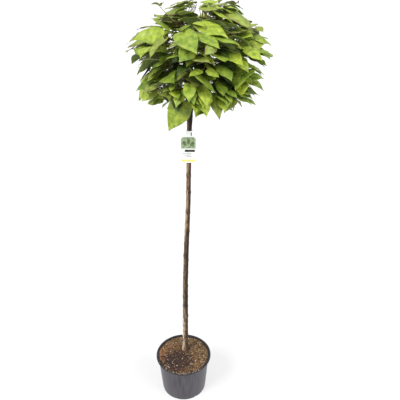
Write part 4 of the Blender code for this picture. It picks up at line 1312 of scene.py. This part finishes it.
def fine_twig(rng, mass):
    """A short twig on from a side twig, in the open between the leaves, or None: of
    several tries, the one whose end is furthest from the ends of other twigs."""
    ends = [twig["line"][-1] for twig in mass["twigs"]]
    best, best_room = None, 0.0
    for _ in range(FINE_TWIG_TRIES):
        number = rng.randrange(len(mass["twigs"]))
        bearer = mass["twigs"][number]["line"]
        span = rng.randrange(len(bearer) - 1)
        root = bearer[span].lerp(bearer[span + 1], rng.uniform(0.2, 1.0))
        way = direction(rng.uniform(0, 2 * math.pi), math.radians(rng.uniform(*FINE_TWIG_RISES)))
        start = root + way * FINE_TWIG_START
        end = root + way * FINE_TWIG_LENGTH * rng.uniform(*FINE_TWIG_SIZES)
        twig = {"line": [start, start.lerp(end, 0.5), end], "radii": FINE_TWIG_RADII,
                "sides": SIDE_TWIG_SIDES}
        room = min((end - other).length for other in ends)
        if room < best_room or not in_crown(end) or not in_own_space([end], mass):
            continue
        others = mass["twig_trees"][:number] + mass["twig_trees"][number + 1:]
        obstacles = mass["limbs"] + mass["solid"] + others
        if touches(twig_tree(twig, FINE_TWIG_CLEARANCE), obstacles):
            continue
        best, best_room = dict(twig, line=[root] + twig["line"][1:]), room
    return best


def top_leaf(rng, mass, given):
    """A small leaf that covers the joints on the top, as near as it can be to the place
    and the way given, or None."""
    best, best_miss = None, 9.0
    for _ in range(TOP_TRIES):
        shift = [rng.uniform(-TOP_SHIFT, TOP_SHIFT) for _ in range(3)]
        turn = [rng.uniform(-TOP_TURN, TOP_TURN) for _ in range(3)]
        tip = [a + b for a, b in zip(given["tip"], shift)]
        leaf = dict(TOP_LEAF, tip=tip, heading=given["heading"] + turn[0],
                    droop=given["droop"] + turn[1], roll=turn[2],
                    length=TOP_LEAF["length"] * rng.uniform(*TOP_SIZES))
        leaf = low_leaf(leaf, mass["joints"])
        miss = Vector(shift).length / TOP_SHIFT + Vector(turn).length / TOP_TURN
        if leaf["joint"] is None or miss > best_miss:
            continue
        vertices, _ = blade_shape(leaf, BLADE_CLEARANCE)
        if not in_own_space(vertices + stalk_line(leaf)[1:2], mass):
            continue
        solid = mass["limbs"] + mass["solid"]
        if not any(touches(tree, solid) for tree in leaf_trees(leaf)):
            best, best_miss = leaf, miss
    return best


stem_points = [Vector((x, stem_y(z), z)) for x, z, _ in STEM_STATIONS]
_, stem_faces = tube_shape(stem_points, [r for _, _, r in STEM_STATIONS], STEM_SIDES)
stem_rings = [point + station[2] * direction(2 * math.pi * k / STEM_SIDES, 0)
              for point, station in zip(stem_points, STEM_STATIONS) for k in range(STEM_SIDES)]
limbs = [tree_of(stem_rings, stem_faces)]
for mass in masses:
    radii = [radius + LIMB_CLEARANCE for radius in bough_radii(mass)]
    limbs.append(tree_of(*tube_shape(mass["bough"], radii, BOUGH_SIDES)))
limbs.append(parting_tree())
middles = []
for mass in masses:
    rng = random.Random(mass["seed"])
    others = [twig_tree(stem_twig(other), LIMB_CLEARANCE)
              for other in masses if other is not mass]
    mass["limbs"] = limbs + others
    mass["twigs"] = [stem_twig(mass)]
    for _ in range(SIDE_TWIGS):
        ends = [twig["line"][-1] for twig in mass["twigs"]]
        twig = side_twig(rng, mass["twigs"][0], mass, mass["limbs"], ends)
        if twig:
            mass["twigs"].append(twig)
    mass["twig_trees"] = [twig_tree(twig) for twig in mass["twigs"]]
    mass["joints"] = [joint for twig in mass["twigs"] for joint in joints_of(twig)]
    mass["leaves"], mass["solid"] = [], []
    for given in LOW_LEAVES:
        if given["mass"] == mass["name"]:
            mass["leaves"].append(low_leaf(given, mass["joints"]))
            keep_leaf(mass, mass["leaves"][-1], middles)
    for layer in LAYERS:
        mass["leaves"] += add_leaves(mass, rng, layer, TRIES, middles)
large = len(middles)
for mass in masses:
    rng = random.Random(f"finer {mass['name']}")
    for _ in range(FINE_TWIGS):
        twig = fine_twig(rng, mass)
        if twig:
            mass["twigs"].append(twig)
            mass["twig_trees"].append(twig_tree(twig))
            mass["joints"] += joints_of(twig)
    for given in TOP_LEAVES:
        leaf = top_leaf(rng, mass, given) if given["mass"] == mass["name"] else None
        if leaf:
            mass["leaves"].append(leaf)
            keep_leaf(mass, leaf, middles)
            print(f"a leaf on the top of {mass['name']}")
    mass["leaves"] += add_leaves(mass, rng, YOUNG_LAYER, LATE_TRIES, middles)
    mass["inner"] = add_leaves(mass, rng, INNER_LAYER, LATE_TRIES, middles)
    mass["inner"] += add_leaves(mass, rng, DEEP_LAYER, LATE_TRIES, middles)
print(f"{large} large leaves and {len(middles) - large} smaller ones")

# %% [markdown]
# ## Shoots
# A few twigs end in this month's growth: thin upright shoots with two or three small
# leaves that are still folded. They carry the rule on to finer twigs. A shoot starts at
# a joint that is still free and is kept if it touches nothing. Three of them reach for
# the places where the photograph shows dark tips, with leaves flushed brown-purple, and
# the free ones for the outline, with olive leaves.

# %% Shoots
SHOOT_TIPS = ((0.112, -0.055, 1.886), (0.215, -0.030, 1.882), (0.285, -0.020, 1.776))
SHOOT_TIP_SPREAD = 0.006
SHOOT_TRIES = 900
SHOOT_LONG = 0.110
SHOOT_SIZES = (0.4, 1.0)
SHOOT_SWAY = 0.4
SHOOT_CLEARANCE = 0.0005
SHOOT_ROOM = 0.004
SHOOT_REACH = 0.170
SHOOT_BEND = 0.01
SHOOT_RADII = (0.0015, 0.0013, 0.0010)
SHOOT_SIDES = 5
YOUNG_LEAF = {"bow": 1.1, "wide": 0.9, "fold": 0.7, "arch": 0.3}
YOUNG_LENGTH = 0.034
YOUNG_SIZES = (0.6, 1.2)
YOUNG_DROOPS = (-62, -8)
YOUNG_STALK = 0.008


def grow_shoot(rng, mass, goal=None):
    """A thin shoot from a free joint to the outline, or the shortest to its goal, or None."""
    best, best_miss = None, SHOOT_REACH
    for _ in range(SHOOT_TRIES):
        root = rng.choice(mass["joints"])
        outward = Vector((root.x - CROWN_X, root.y - CROWN_Y, 0)) * 3
        sway = Vector((rng.gauss(0, SHOOT_SWAY), rng.gauss(0, SHOOT_SWAY), 1.0))
        way = (outward + sway).normalized()
        end = root + way * SHOOT_LONG * rng.uniform(*SHOOT_SIZES)
        if goal:
            end = goal + Vector([rng.gauss(0, SHOOT_TIP_SPREAD) for _ in range(3)])
        elif not in_crown(end):
            continue
        if not in_own_space([end], mass):
            continue
        miss = (end - root).length if goal else crown_depth(end)
        line = [root, root.lerp(end, 0.5) + outward * SHOOT_BEND, end]
        shoot = {"line": line, "radii": SHOOT_RADII, "sides": SHOOT_SIDES}
        obstacles = mass["limbs"] + mass["solid"]
        if miss < best_miss and not touches(twig_tree(shoot, SHOOT_CLEARANCE), obstacles):
            best, best_miss = shoot, miss
    return best


def young_leaves(rng, shoot):
    """Two or three small folded leaves that stand up round a shoot's tip."""
    tip, grown = shoot["line"][-1], []
    first = rng.uniform(0, 2 * math.pi)
    for k in range(rng.choice((2, 3))):
        heading = first + 2 * math.pi * k / 3 + rng.gauss(0, 0.2)
        droop = math.radians(rng.uniform(*YOUNG_DROOPS))
        leaf = dict(YOUNG_LEAF, frame=blade_frame(heading, droop, rng.gauss(0, 0.2)),
                    length=YOUNG_LENGTH * rng.uniform(*YOUNG_SIZES), joint=tip)
        leaf["base"] = tip + YOUNG_STALK * (leaf["frame"] @ Vector((0, 1, 0)))
        grown.append(leaf)
    return grown


for mass in masses:
    rng = random.Random(f"shoots {mass['name']}")
    mass["shoots"], mass["young"] = [], []
    goals = [Vector(tip) for tip in SHOOT_TIPS if in_own_space([Vector(tip)], mass)]
    if mass["name"].startswith("top"):
        goals.append(None)
    for goal in goals:
        shoot = grow_shoot(rng, mass, goal)
        if shoot:
            mass["shoots"].append(shoot)
            mass["joints"].remove(shoot["line"][0])
            mass["limbs"].append(twig_tree(shoot, SHOOT_ROOM))
            tone = "flushed" if goal else "olive"
            mass["young"] += [dict(leaf, tone=tone) for leaf in young_leaves(rng, shoot)]
print(f"{sum(len(mass['shoots']) for mass in masses)} shoots")

# %% [markdown]
# ## Leaf blades
# The skin of a catalpa leaf is soft and satin, not waxy, with a midrib and seven or so
# arching side veins to each half, which are paler than the blade. The blade swells up
# between them like a quilt. The veins are modelled: the rows of the blade's grid run along
# them, a narrow strip of each is a vein, and the rows between are lifted. A side vein is
# 0.7 mm wide on the real leaf and 1.7 mm here, so that it shows at this distance.

# %% Blade grid
VEIN_PLACES = (0.055, 0.135, 0.235, 0.350, 0.480, 0.620, 0.770)
LAST_ROWS = (0.85, 0.91, 0.96)
ACROSS = (0.0, 0.16, 0.40, 0.64, 0.85, 1.0)
VEIN_HALF = 0.0070
MIDRIB_HALF = 0.0110
QUILTING = 0.0150
BLADE_THICK = 0.0050
BLADE, VEIN, UNDER, UNDER_VEIN, MARGIN = range(5)


def row_point(t, s):
    """A point of the blade's right half: t picks a row, which leaves the midrib and
    arches forward, and s goes along it from the midrib, 0, to the edge, 1."""
    edge_x, edge_y = leaf_outline(t)
    root_y = 0.03 * t + 0.97 * max(0.0, (t - 0.22) / 0.78) ** 1.3
    root_x = MIDRIB_HALF * (1 - 0.85 * root_y)
    x = root_x + (edge_x - root_x) * s
    y = root_y + (edge_y - root_y) * s - 0.10 * math.sin(math.pi * s) * t * (1 - t)
    return x, y


def vein_share(place, s):
    """Half the width of a vein in steps of t, where its row is at s."""
    x0, y0 = row_point(place - 0.01, s)
    x1, y1 = row_point(place + 0.01, s)
    pace = math.hypot(x1 - x0, y1 - y0) / 0.02
    return min(0.022, VEIN_HALF * (1 - 0.75 * s) / max(pace, 0.01))


def blade_grid():
    """The flat grid of a blade of length 1. Each row runs from the left edge over the
    midrib to the right edge: x, y, the lift above and below, and the share to the edge."""
    rows = [[(0.02, s, 0.0, 0.0) for s in ACROSS]]
    before = 0.02
    for place in VEIN_PLACES:
        crest = (before + place) / 2
        rise = QUILTING * min(1.0, (place - before) / 0.10)
        rows.append([(crest, s, rise * math.sin(math.pi * min(1.0, 0.08 + 0.95 * s)) ** 0.6, 0.0)
                     for s in ACROSS])
        for way in (-1, 1):
            rows.append([(place + way * vein_share(place, s), s, 0.0, 0.006 * (1 - 0.7 * s))
                         for s in ACROSS])
        before = place
    rows += [[(t, s, 0.0, 0.0) for s in ACROSS] for t in LAST_ROWS]
    table = []
    for row in rows:
        half = []
        for t, s, rise, hump in row:
            x, y = row_point(min(t, 0.999), s)
            half.append((x, y, rise, rise - hump, s, t))
        left = [(-x, y, top, low, s, t) for x, y, top, low, s, t in reversed(half)]
        x, y, top, low, s, t = half[0]
        table += left + [(0.0, y, -0.002, low - 0.010 * (1 - y), 0.0, t)] + half
    table.append((0.0, 1.0, 0.0, 0.0, 0.5, 1.0))
    return np.array(table), len(rows), 2 * len(ACROSS) + 1


def blade_faces(rows, columns):
    """Faces of the closed blade: above, below, and the edge, each with its kind."""
    count = rows * columns + 1
    tip = count - 1
    middle = columns // 2
    faces, kinds = [], []
    vein_rows = {3 * k + 2 for k in range(len(VEIN_PLACES))}
    for row in range(rows):
        for c in range(columns - 1):
            here = row * columns + c
            if row < rows - 1:
                face = (here, here + 1, here + columns + 1, here + columns)
            else:
                face = (here, here + 1, tip)
            vein = row in vein_rows or c in (middle - 1, middle)
            margin = c in (0, columns - 2) or row >= rows - 2
            faces.append(face)
            kinds.append(MARGIN if margin else VEIN if vein else BLADE)
            faces.append(tuple(n + count for n in reversed(face)))
            kinds.append(UNDER_VEIN if vein else UNDER)
    edge = [row * columns for row in range(rows)] + [tip]
    edge += [row * columns + columns - 1 for row in reversed(range(rows))]
    edge += list(range(columns - 2, 0, -1))
    for a, b in zip(edge, edge[1:] + edge[:1]):
        faces.append((a, b, b + count, a + count))
        kinds.append(MARGIN)
    return faces, np.array(kinds)


grid, grid_rows, grid_columns = blade_grid()
grid_faces, grid_kinds = blade_faces(grid_rows, grid_columns)
print(f"a blade has {len(grid)} points above and {len(grid_faces)} faces")

# %% [markdown]
# ## Each leaf's own look
# No two leaves are alike, and their greens are dealt out by where they stand, partly as
# painted light and shade. Lime and fresh green in front, below and on the outside are the
# young, thin leaves, and their paler green there is also painted light for the light that
# comes through them. Olive on the top is painted sheen, and olive on the left is painted
# light from the key light's side; mid green is more common at the right as painted shade,
# and deep green in the hollow behind the front is painted shade. The underside is paler
# and downy, with raised veins, and the margin of an olive leaf is scorched by the sun.

# %% Greens
TONES = {
    "lime": ("#8FA52A", "#B6C444"),
    "fresh": ("#738A25", "#A0AE3A"),
    "mid": ("#5C771D", "#899A33"),
    "deep": ("#2B3C16", "#43581E"),
    "olive": ("#6C7A2F", "#8A9A42"),
    "flushed": ("#2C2020", "#47332E"),
}
VEINS = {
    "pale": ("#A4B53F", "#B4C353"),
    "green": ("#8C9D3C", "#9DAC4B"),
    "dull": ("#647A2E", "#758A3A"),
}
VEINS_OF = {"lime": "pale", "fresh": "green", "olive": "green", "mid": "dull"}
VEIN_SPACING = 0.005
MOTTLE = 0.018


def leaf_material(name, dark, light, roughness, vein_depth):
    """A leaf's skin: mottled between two greens, with the net of its finest veins."""
    material, tree, shader, place, _ = two_shades(name, dark, light, roughness, 1.42, MOTTLE,
                                                  3.0, (0.38, 0.62))
    net = node(tree, "ShaderNodeTexVoronoi", {"Vector": place, "Scale": 1 / VEIN_SPACING},
               feature="DISTANCE_TO_EDGE")
    relief = node(tree, "ShaderNodeBump", {"Height": net.outputs["Distance"],
                                           "Strength": vein_depth, "Distance": 0.0006})
    tree.links.new(relief.outputs["Normal"], shader.inputs["Normal"])
    return material


skins = [leaf_material(f"leaf_{tone}", *shades, 0.46, 0.35) for tone, shades in TONES.items()]
skins += [leaf_material(f"leaf_vein_{name}", *shades, 0.50, 0.1)
          for name, shades in VEINS.items()]
skins += [leaf_material("downy_underside", "#889858", "#9BAA68", 0.75, 0.5),
          leaf_material("downy_underside_deep", "#6A7E3F", "#7D9050", 0.75, 0.5),
          leaf_material("scorched_margin", "#6A6232", "#82803E", 0.60, 0.3)]
skin_names = list(TONES) + list(VEINS) + ["underside", "underside_deep", "scorched"]
print(f"{len(skins)} leaf finishes")

# %% [markdown]
# ## From the grid to a leaf
# Each leaf bends the grid its own way: its halves have a width and a wave each, and its
# shoulders may be blunt. All the blades of a mass are one mesh, with a slot for each
# finish. The leaf's tone is picked first, from where the middle of its blade is.

# %% Leaf meshes
HOLLOW_HALF_WIDTH = 0.13
HOLLOW_BACK = 0.05
HOLLOW_FOOT = 1.56
HOLLOW_HEAD = 1.78
CROWN_FOOT = 1.445
CROWN_TALL = 0.452
CROWN_HALF_WIDTH = 0.29
OUTER_DEPTH = 0.035
OUTER_FADE = 0.05
WAVES = {"leaves": 0.020, "inner": 0.015, "young": 0.030}
WAVE_RATES = (1.3, 2.4)
HALF_WIDTHS = (0.94, 1.03)
BLUNTNESS = (0.0, 0.0, 0.35, 0.8)


def in_hollow(point):
    """Whether a point is in the dark hollow behind the crown's front middle."""
    aside, back = abs(point.x - CROWN_X), point.y - CROWN_Y
    return (aside < HOLLOW_HALF_WIDTH and back < HOLLOW_BACK
            and HOLLOW_FOOT < point.z < HOLLOW_HEAD)


def pick_tone(rng, leaf):
    """A leaf's green, from where it stands in the crown and how deep inside."""
    middle = leaf_point(leaf, 0, 0.5)
    height = (middle.z - CROWN_FOOT) / CROWN_TALL
    front = (CROWN_Y - middle.y) / CROWN_HALF_WIDTH
    side = (middle.x - CROWN_X) / CROWN_HALF_WIDTH
    outside = 1 - min(1.0, max(0.0, (crown_depth(middle) - OUTER_DEPTH) / OUTER_FADE))
    low, high = max(0.0, 0.4 - height), max(0.0, height - 0.6)
    shade = 1 - outside if in_hollow(middle) else 0.0
    # Painted light and shade: paler greens on the outside, olive on the top and the left, more mid
    # green at the right, deep green in the hollow.
    weights = {
        "lime": outside * (0.12 + 0.8 * low),
        "fresh": (0.3 + 0.7 * outside) * (0.60 + 2.0 * low),
        "mid": 0.65 + 0.25 * max(0.0, side) + 0.4 * max(0.0, front),
        "olive": outside * (0.10 + 2.2 * high + 2.4 * max(0.0, -side) * min(1.0, 2 * height)),
        "deep": 0.9 * shade,
    }
    return rng.choices(list(weights), weights=list(weights.values()))[0]


def inner_tone(rng, leaf):
    """The green of a leaf inside the crown, deepest behind the crown's front middle."""
    middle = leaf_point(leaf, 0, 0.5)
    # Painted shade: deep green in the hollow; olive among the inner leaves on top is painted
    # sheen.
    if in_hollow(middle):
        return rng.choice(("deep", "deep", "deep", "mid"))
    above = middle.z > HOLLOW_HEAD
    return rng.choice(("mid", "mid", "olive", "fresh") if above else ("mid", "fresh"))


def leaf_mesh(rng, leaf, tone, wave):
    """Points and face slots of one leaf: the grid, bent as the leaf hangs."""
    x, y, top, low, s, t = grid.T
    half = np.where(x < 0, 0, 1)
    width = np.array([rng.uniform(*HALF_WIDTHS), rng.uniform(*HALF_WIDTHS)])[half]
    blunt = rng.choice(BLUNTNESS)
    shoulder = 1 + 0.10 * blunt * np.exp(-((t - 0.44) / 0.06) ** 2) - 0.05 * blunt
    phase = np.array([rng.uniform(0, 6.3), rng.uniform(0, 6.3)])[half]
    ripple = wave * s ** 2 * np.sin(phase + 2 * math.pi * rng.uniform(*WAVE_RATES) * t)
    wide = x * width * shoulder * leaf["wide"]
    turn = leaf["bow"] * y
    side = leaf["fold"] * abs(wide) - leaf["arch"] * wide ** 2 + ripple
    points = []
    for lift in (top + BLADE_THICK / 2, low - BLADE_THICK / 2):
        away = side + lift
        along = np.sin(turn) / leaf["bow"] + away * np.sin(turn)
        up = (np.cos(turn) - 1) / leaf["bow"] + away * np.cos(turn)
        points.append(np.stack([wide, along, up], axis=1))
    turned_points = np.concatenate(points) @ np.array(leaf["frame"]).T
    placed = turned_points * leaf["length"] + np.array(leaf["base"])
    # The darker tones, the painted shade of the hollow among them, get the darker underside.
    under = "underside_deep" if tone in ("deep", "flushed", "mid") else "underside"
    margin = "scorched" if tone == "olive" else tone
    vein = VEINS_OF.get(tone, tone)
    slots = np.array([skin_names.index(name) for name in (tone, vein, under, under, margin)])
    return placed, slots[grid_kinds]


def leaf_piece(mass):
    """Every blade of a mass as one mesh."""
    rng = random.Random(f"tones {mass['name']}")
    vertices, faces, slots = [], [], []
    tones = {"leaves": [leaf.get("tone") or pick_tone(rng, leaf) for leaf in mass["leaves"]],
             "inner": [inner_tone(rng, leaf) for leaf in mass["inner"]],
             "young": [leaf["tone"] for leaf in mass["young"]]}
    for kind, wave in WAVES.items():
        for leaf, tone in zip(mass[kind], tones[kind]):
            first = len(vertices)
            points, kinds = leaf_mesh(rng, leaf, tone, wave)
            vertices += points.tolist()
            faces += [tuple(n + first for n in face) for face in grid_faces]
            slots += kinds.tolist()
    piece(f"leaves_{mass['name']}", vertices, faces, skins, slots,
          [f"foliage_{mass['name']}"])


for mass in masses:
    leaf_piece(mass)

# %% [markdown]
# ## Boughs, twigs and stalks
# Young wood is round and smooth, with a swelling at each joint and a pointed bud at its
# end. A smooth curve is drawn through the growth rule's few points, and the tube's radius
# swells at the joints. The stalks are long and springy, thickened where they meet the
# twig, and they bend once before the blade.

# %% Wood
TWIG_CURVE = {"steps": 12, "spacing": 2 * JOINT_SPACING, "swell": 0.28, "sides": 10}
SHOOT_CURVE = {"steps": 8, "spacing": 0.02, "swell": 0.25, "sides": 7}
BOUGH_STEPS = 8
BOUGH_KNOTS = 0.034
BOUGH_SWELL = 0.16
BOUGH_MESH_SIDES = 16
KNOT_HALF = 0.0022
BUD_LENGTH = 2.6
STALK_FULLNESS = 1.05
YOUNG_STALK_RADIUS = 0.0007


def curved(points, steps):
    """A smooth line through points, with some steps to each span."""
    ends = [points[0] * 2 - points[1]] + list(points) + [points[-1] * 2 - points[-2]]
    line = []
    for a, b, c, d in zip(ends, ends[1:], ends[2:], ends[3:]):
        for n in range(steps):
            t = n / steps
            line.append(0.5 * (2 * b + (c - a) * t + (2 * a - 5 * b + 4 * c - d) * t * t
                               + (3 * b - 3 * c + d - a) * t ** 3))
    return line + [points[-1]]


def spread(values, steps):
    """Values between the given ones, to match a curved line."""
    places = np.linspace(0, len(values) - 1, (len(values) - 1) * steps + 1)
    return np.interp(places, np.arange(len(values)), values).tolist()


def knotted(line, radii, spacing, swell):
    """Radii with a swelling at every joint along the line."""
    run, grown = 0.0, []
    for n, radius in enumerate(radii):
        run += (line[n] - line[n - 1]).length if n else 0.0
        near = abs((run / spacing) % 1.0 - 0.7)
        grown.append(radius * (1 + swell * math.exp(-(near * spacing / KNOT_HALF) ** 2)))
    return grown


def bud(tip, before, size):
    """A pointed bud at a twig's end."""
    along = (tip - before).normalized()
    places = (-0.1, 0.25, 0.6, 0.85, 1.0)
    girth = (0.9, 1.25, 1.0, 0.5, 0.12)
    line = [tip + along * size * BUD_LENGTH * t for t in places]
    return tube_shape(line, [size * g for g in girth], 8)


def add_limb(wood, limb, skin, steps, spacing, swell, sides):
    """Add a twig or shoot: curved, swollen at its joints and with a bud at its end."""
    line = curved(limb["line"], steps)
    radii = knotted(line, spread(limb["radii"], steps), spacing, swell)
    wood.add(tube_shape(line, radii, sides), skin)
    wood.add(bud(line[-1], line[-2], radii[-1]), skin)


def stalk_shape(leaf, thick):
    """A leaf's stalk: straight out of the blade, round one bend, and thick at the twig."""
    base, bend, joint = stalk_line(leaf)
    start, stop = base.lerp(bend, 0.5), bend.lerp(joint, 0.5)
    line = [leaf_point(leaf, 0, 0.04), base, base.lerp(start, 0.5)]
    line += [start.lerp(bend, t).lerp(bend.lerp(stop, t), t) for t in (0, 0.25, 0.5, 0.75, 1)]
    line += [stop.lerp(joint, 0.55), stop.lerp(joint, 0.88), joint]
    girth = (0.55, 0.80, 0.78, 0.76, 0.76, 0.78, 0.80, 0.82, 0.90, 1.25, 1.40)
    return tube_shape(line, [thick * g for g in girth], 6)


for mass in masses:
    wood = Joined()
    for twig in mass["twigs"]:
        add_limb(wood, twig, 0, **TWIG_CURVE)
    for shoot in mass["shoots"]:
        add_limb(wood, shoot, 1, **SHOOT_CURVE)
    for leaf in mass["leaves"] + mass["inner"]:
        wood.add(stalk_shape(leaf, STALK_RADIUS * STALK_FULLNESS), 1)
    for leaf in mass["young"]:
        wood.add(stalk_shape(leaf, YOUNG_STALK_RADIUS), 1)
    piece(f"twigs_{mass['name']}", wood.vertices, wood.faces, [twig_bark, stalk_skin],
          wood.slots, [f"foliage_{mass['name']}"])

boughs = Joined()
for mass in masses:
    line = curved(mass["bough"], BOUGH_STEPS) + [mass["twigs"][0]["line"][0]]
    radii = knotted(line, spread(bough_radii(mass), BOUGH_STEPS), BOUGH_KNOTS, BOUGH_SWELL)
    radii += [BOUGH_TIP_RADIUS]
    foot = line[0] * 2 - line[1]
    boughs.add(tube_shape([foot] + line, [radii[0] * 1.25] + radii, BOUGH_MESH_SIDES), 0)
piece("boughs", boughs.vertices, boughs.faces, [bough_bark], boughs.slots,
      [f"bough_{mass['name']}" for mass in masses])

# %% [markdown]
# ## Tag
# A white polypropylene tag, die-cut with a rounded top and a neck that loops round the
# stem. Its print is a generic design that stands for no product: a sage panel with three
# simple leaves, a dark bar, a few grey rules and a yellow foot. Each printed shape is a
# film 0.1 mm thick, so its edge stays crisp at any distance.

# %% Tag
TAG_WIDTH = 0.068
TAG_HEIGHT = 0.118
TAG_NECK_WIDTH = 0.021
TAG_NECK_HEIGHT = 0.022
TAG_NECK_FLARE = ((0.002, 0.0006), (0.0, 0.004))
TAG_THICKNESS = 0.0009
TAG_CORNER = 0.005
TAG_SHOULDER = 0.018
TAG_TOP = 1.382
TAG_ASIDE = -0.005
TAG_LOOP_BAND = 0.0075
TAG_LOOP_SIDES = 48
TAG_LOOP_CLEARANCE = 0.0006
FILM = 0.0001
PRINT_MARGIN = 0.004
PANEL_HEIGHT = 0.050
PANEL_CORNER = 0.012
PRINT_LEAF = 0.026
PRINT_LEAVES = ((-0.015, 0.028, 0.5), (0.001, 0.020, -0.1), (0.016, 0.030, -0.6))
INKS = {
    "sage": ("#677A5C", "#A3B18A", 0.006),
    "leaf": ("#3E5230", "#5F7540", 0.004),
    "charcoal": ("#141713", "#282C26", 0.008),
    "grey": ("#6A706A", "#858B84", 0.008),
    "yellow": ("#D9CF62", "#E6DE7E", 0.010),
}
BARS = (
    (0.006, 0.0600, 0.042, 0.0100, 0.0020, "charcoal"),
    (-0.006, 0.0730, 0.036, 0.0022, 0.0008, "grey"),
    (-0.002, 0.0795, 0.028, 0.0022, 0.0008, "grey"),
    (0.002, 0.0860, 0.020, 0.0022, 0.0008, "grey"),
    (0.000, 0.1040, 0.056, 0.0090, 0.0020, "yellow"),
)
SHARP_ANGLE = math.radians(30)


def film_material(name, dark, light, size):
    """Smooth plastic or the ink on it, mottled between two shades."""
    return two_shades(name, dark, light, 0.38, 1.49, size, 3.0)[0]


def plate(outline, front, back):
    """A flat plate with an outline in x and z, between two depths."""
    count = len(outline)
    vertices = [(x, front, z) for x, z in outline] + [(x, back, z) for x, z in outline]
    faces = [tuple(range(count)), tuple(range(2 * count - 1, count - 1, -1))]
    faces += [(k, count + k, count + (k + 1) % count, (k + 1) % count) for k in range(count)]
    return vertices, faces


def bar(x, z, wide, high, round_by):
    """Outline of a bar with rounded corners, anticlockwise from the lower right."""
    w, h = wide / 2 - round_by, high / 2 - round_by
    points = []
    for quarter, (right, up) in enumerate(((w, -h), (w, h), (-w, h), (-w, -h))):
        first = 90 * quarter - 90
        points += corner((x + right, z + up), round_by, first, first + 90, 4)
    return points


def small_leaf(x, z, long, tilt):
    """Outline of a plain leaf for the print."""
    steps = [n / 9 for n in range(10)]
    places = [(t, 1) for t in steps] + [(t, -1) for t in reversed(steps[1:-1])]
    points = []
    for t, way in places:
        across = way * 0.26 * long * math.sin(math.pi * t) ** 0.8
        up = long * (t - 0.5)
        points.append((x + across * math.cos(tilt) - up * math.sin(tilt),
                       z + across * math.sin(tilt) + up * math.cos(tilt)))
    return points


band_top = TAG_TOP + TAG_NECK_HEIGHT
band_low = band_top - TAG_LOOP_BAND
loop_middle, loop_radius = stem_at(band_top)
foot, foot_radius = stem_at(TAG_TOP - TAG_HEIGHT)
inner = max(loop_radius, loop_middle.y - foot.y + foot_radius) + TAG_LOOP_CLEARANCE
outer = inner + TAG_THICKNESS
front = loop_middle.y - outer
x0 = loop_middle.x + TAG_ASIDE
half, low = TAG_WIDTH / 2, TAG_TOP - TAG_HEIGHT
right = corner((half - TAG_CORNER, low + TAG_CORNER), TAG_CORNER, -90, 0, 8)
right += corner((half - TAG_SHOULDER, TAG_TOP - TAG_SHOULDER), TAG_SHOULDER, 0, 90, 12)
right += [(TAG_NECK_WIDTH / 2 + aside, TAG_TOP + rise) for aside, rise in TAG_NECK_FLARE]
right += [(TAG_NECK_WIDTH / 2, band_top)]
outline = [(x0 + x, z) for x, z in right] + [(x0 - x, z) for x, z in reversed(right)]
tag = Joined()
tag.add(plate(outline, front, front + TAG_THICKNESS), 0)
band = turned([(inner, band_low), (outer, band_low), (outer, band_top), (inner, band_top)],
              TAG_LOOP_SIDES)[0]
band = [(x + loop_middle.x, y + loop_middle.y, z) for x, y, z in band]
tag.add((band, [tuple(n % len(band) for n in face)
                for face in ring_faces(5, TAG_LOOP_SIDES)[:-2]]), 0)
tag_piece = piece("tag_plate", tag.vertices, tag.faces,
                  [film_material("die_cut_polypropylene", "#DCDDD9", "#E9EAE7", 0.02)],
                  tag.slots, ["hang_tag"])
tag_piece.data.set_sharp_from_angle(angle=SHARP_ANGLE)

print_top = TAG_TOP - PRINT_MARGIN
panel_half, panel_low = half - PRINT_MARGIN, print_top - PANEL_HEIGHT
round_half, round_low = panel_half - PANEL_CORNER, print_top - PANEL_CORNER
panel = corner((x0 + round_half, round_low), PANEL_CORNER, 0, 90, 8)
panel += corner((x0 - round_half, round_low), PANEL_CORNER, 90, 180, 8)
panel += [(x0 - panel_half, panel_low), (x0 + panel_half, panel_low)]
shapes = [(panel, "sage", 1)]
shapes += [(small_leaf(x0 + x, print_top - z, PRINT_LEAF, tilt), "leaf", 2)
           for x, z, tilt in PRINT_LEAVES]
shapes += [(bar(x0 + x, print_top - z, *size), ink, 1) for x, z, *size, ink in BARS]
printed = Joined()
for shape, ink, layers in shapes:
    printed.add(plate(shape, front - FILM * layers, front - FILM * (layers - 1)),
                list(INKS).index(ink))
print_piece = piece("tag_print", printed.vertices, printed.faces,
                    [film_material(f"ink_{name}", *ink) for name, ink in INKS.items()],
                    printed.slots, ["hang_tag"])
print_piece.data.set_sharp_from_angle(angle=SHARP_ANGLE)

# %% [markdown]
# ## Sizes and the end
# The box of the solid model and that of the finished one are printed side by side.

# %% Sizes
low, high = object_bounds()
sizes = {"cad": [list(cad_low), list(cad_high)], "visual": [list(low), list(high)]}
print("box", [round(high[n] - low[n], 4) for n in range(3)], "against",
      [round(cad_high[n] - cad_low[n], 4) for n in range(3)])
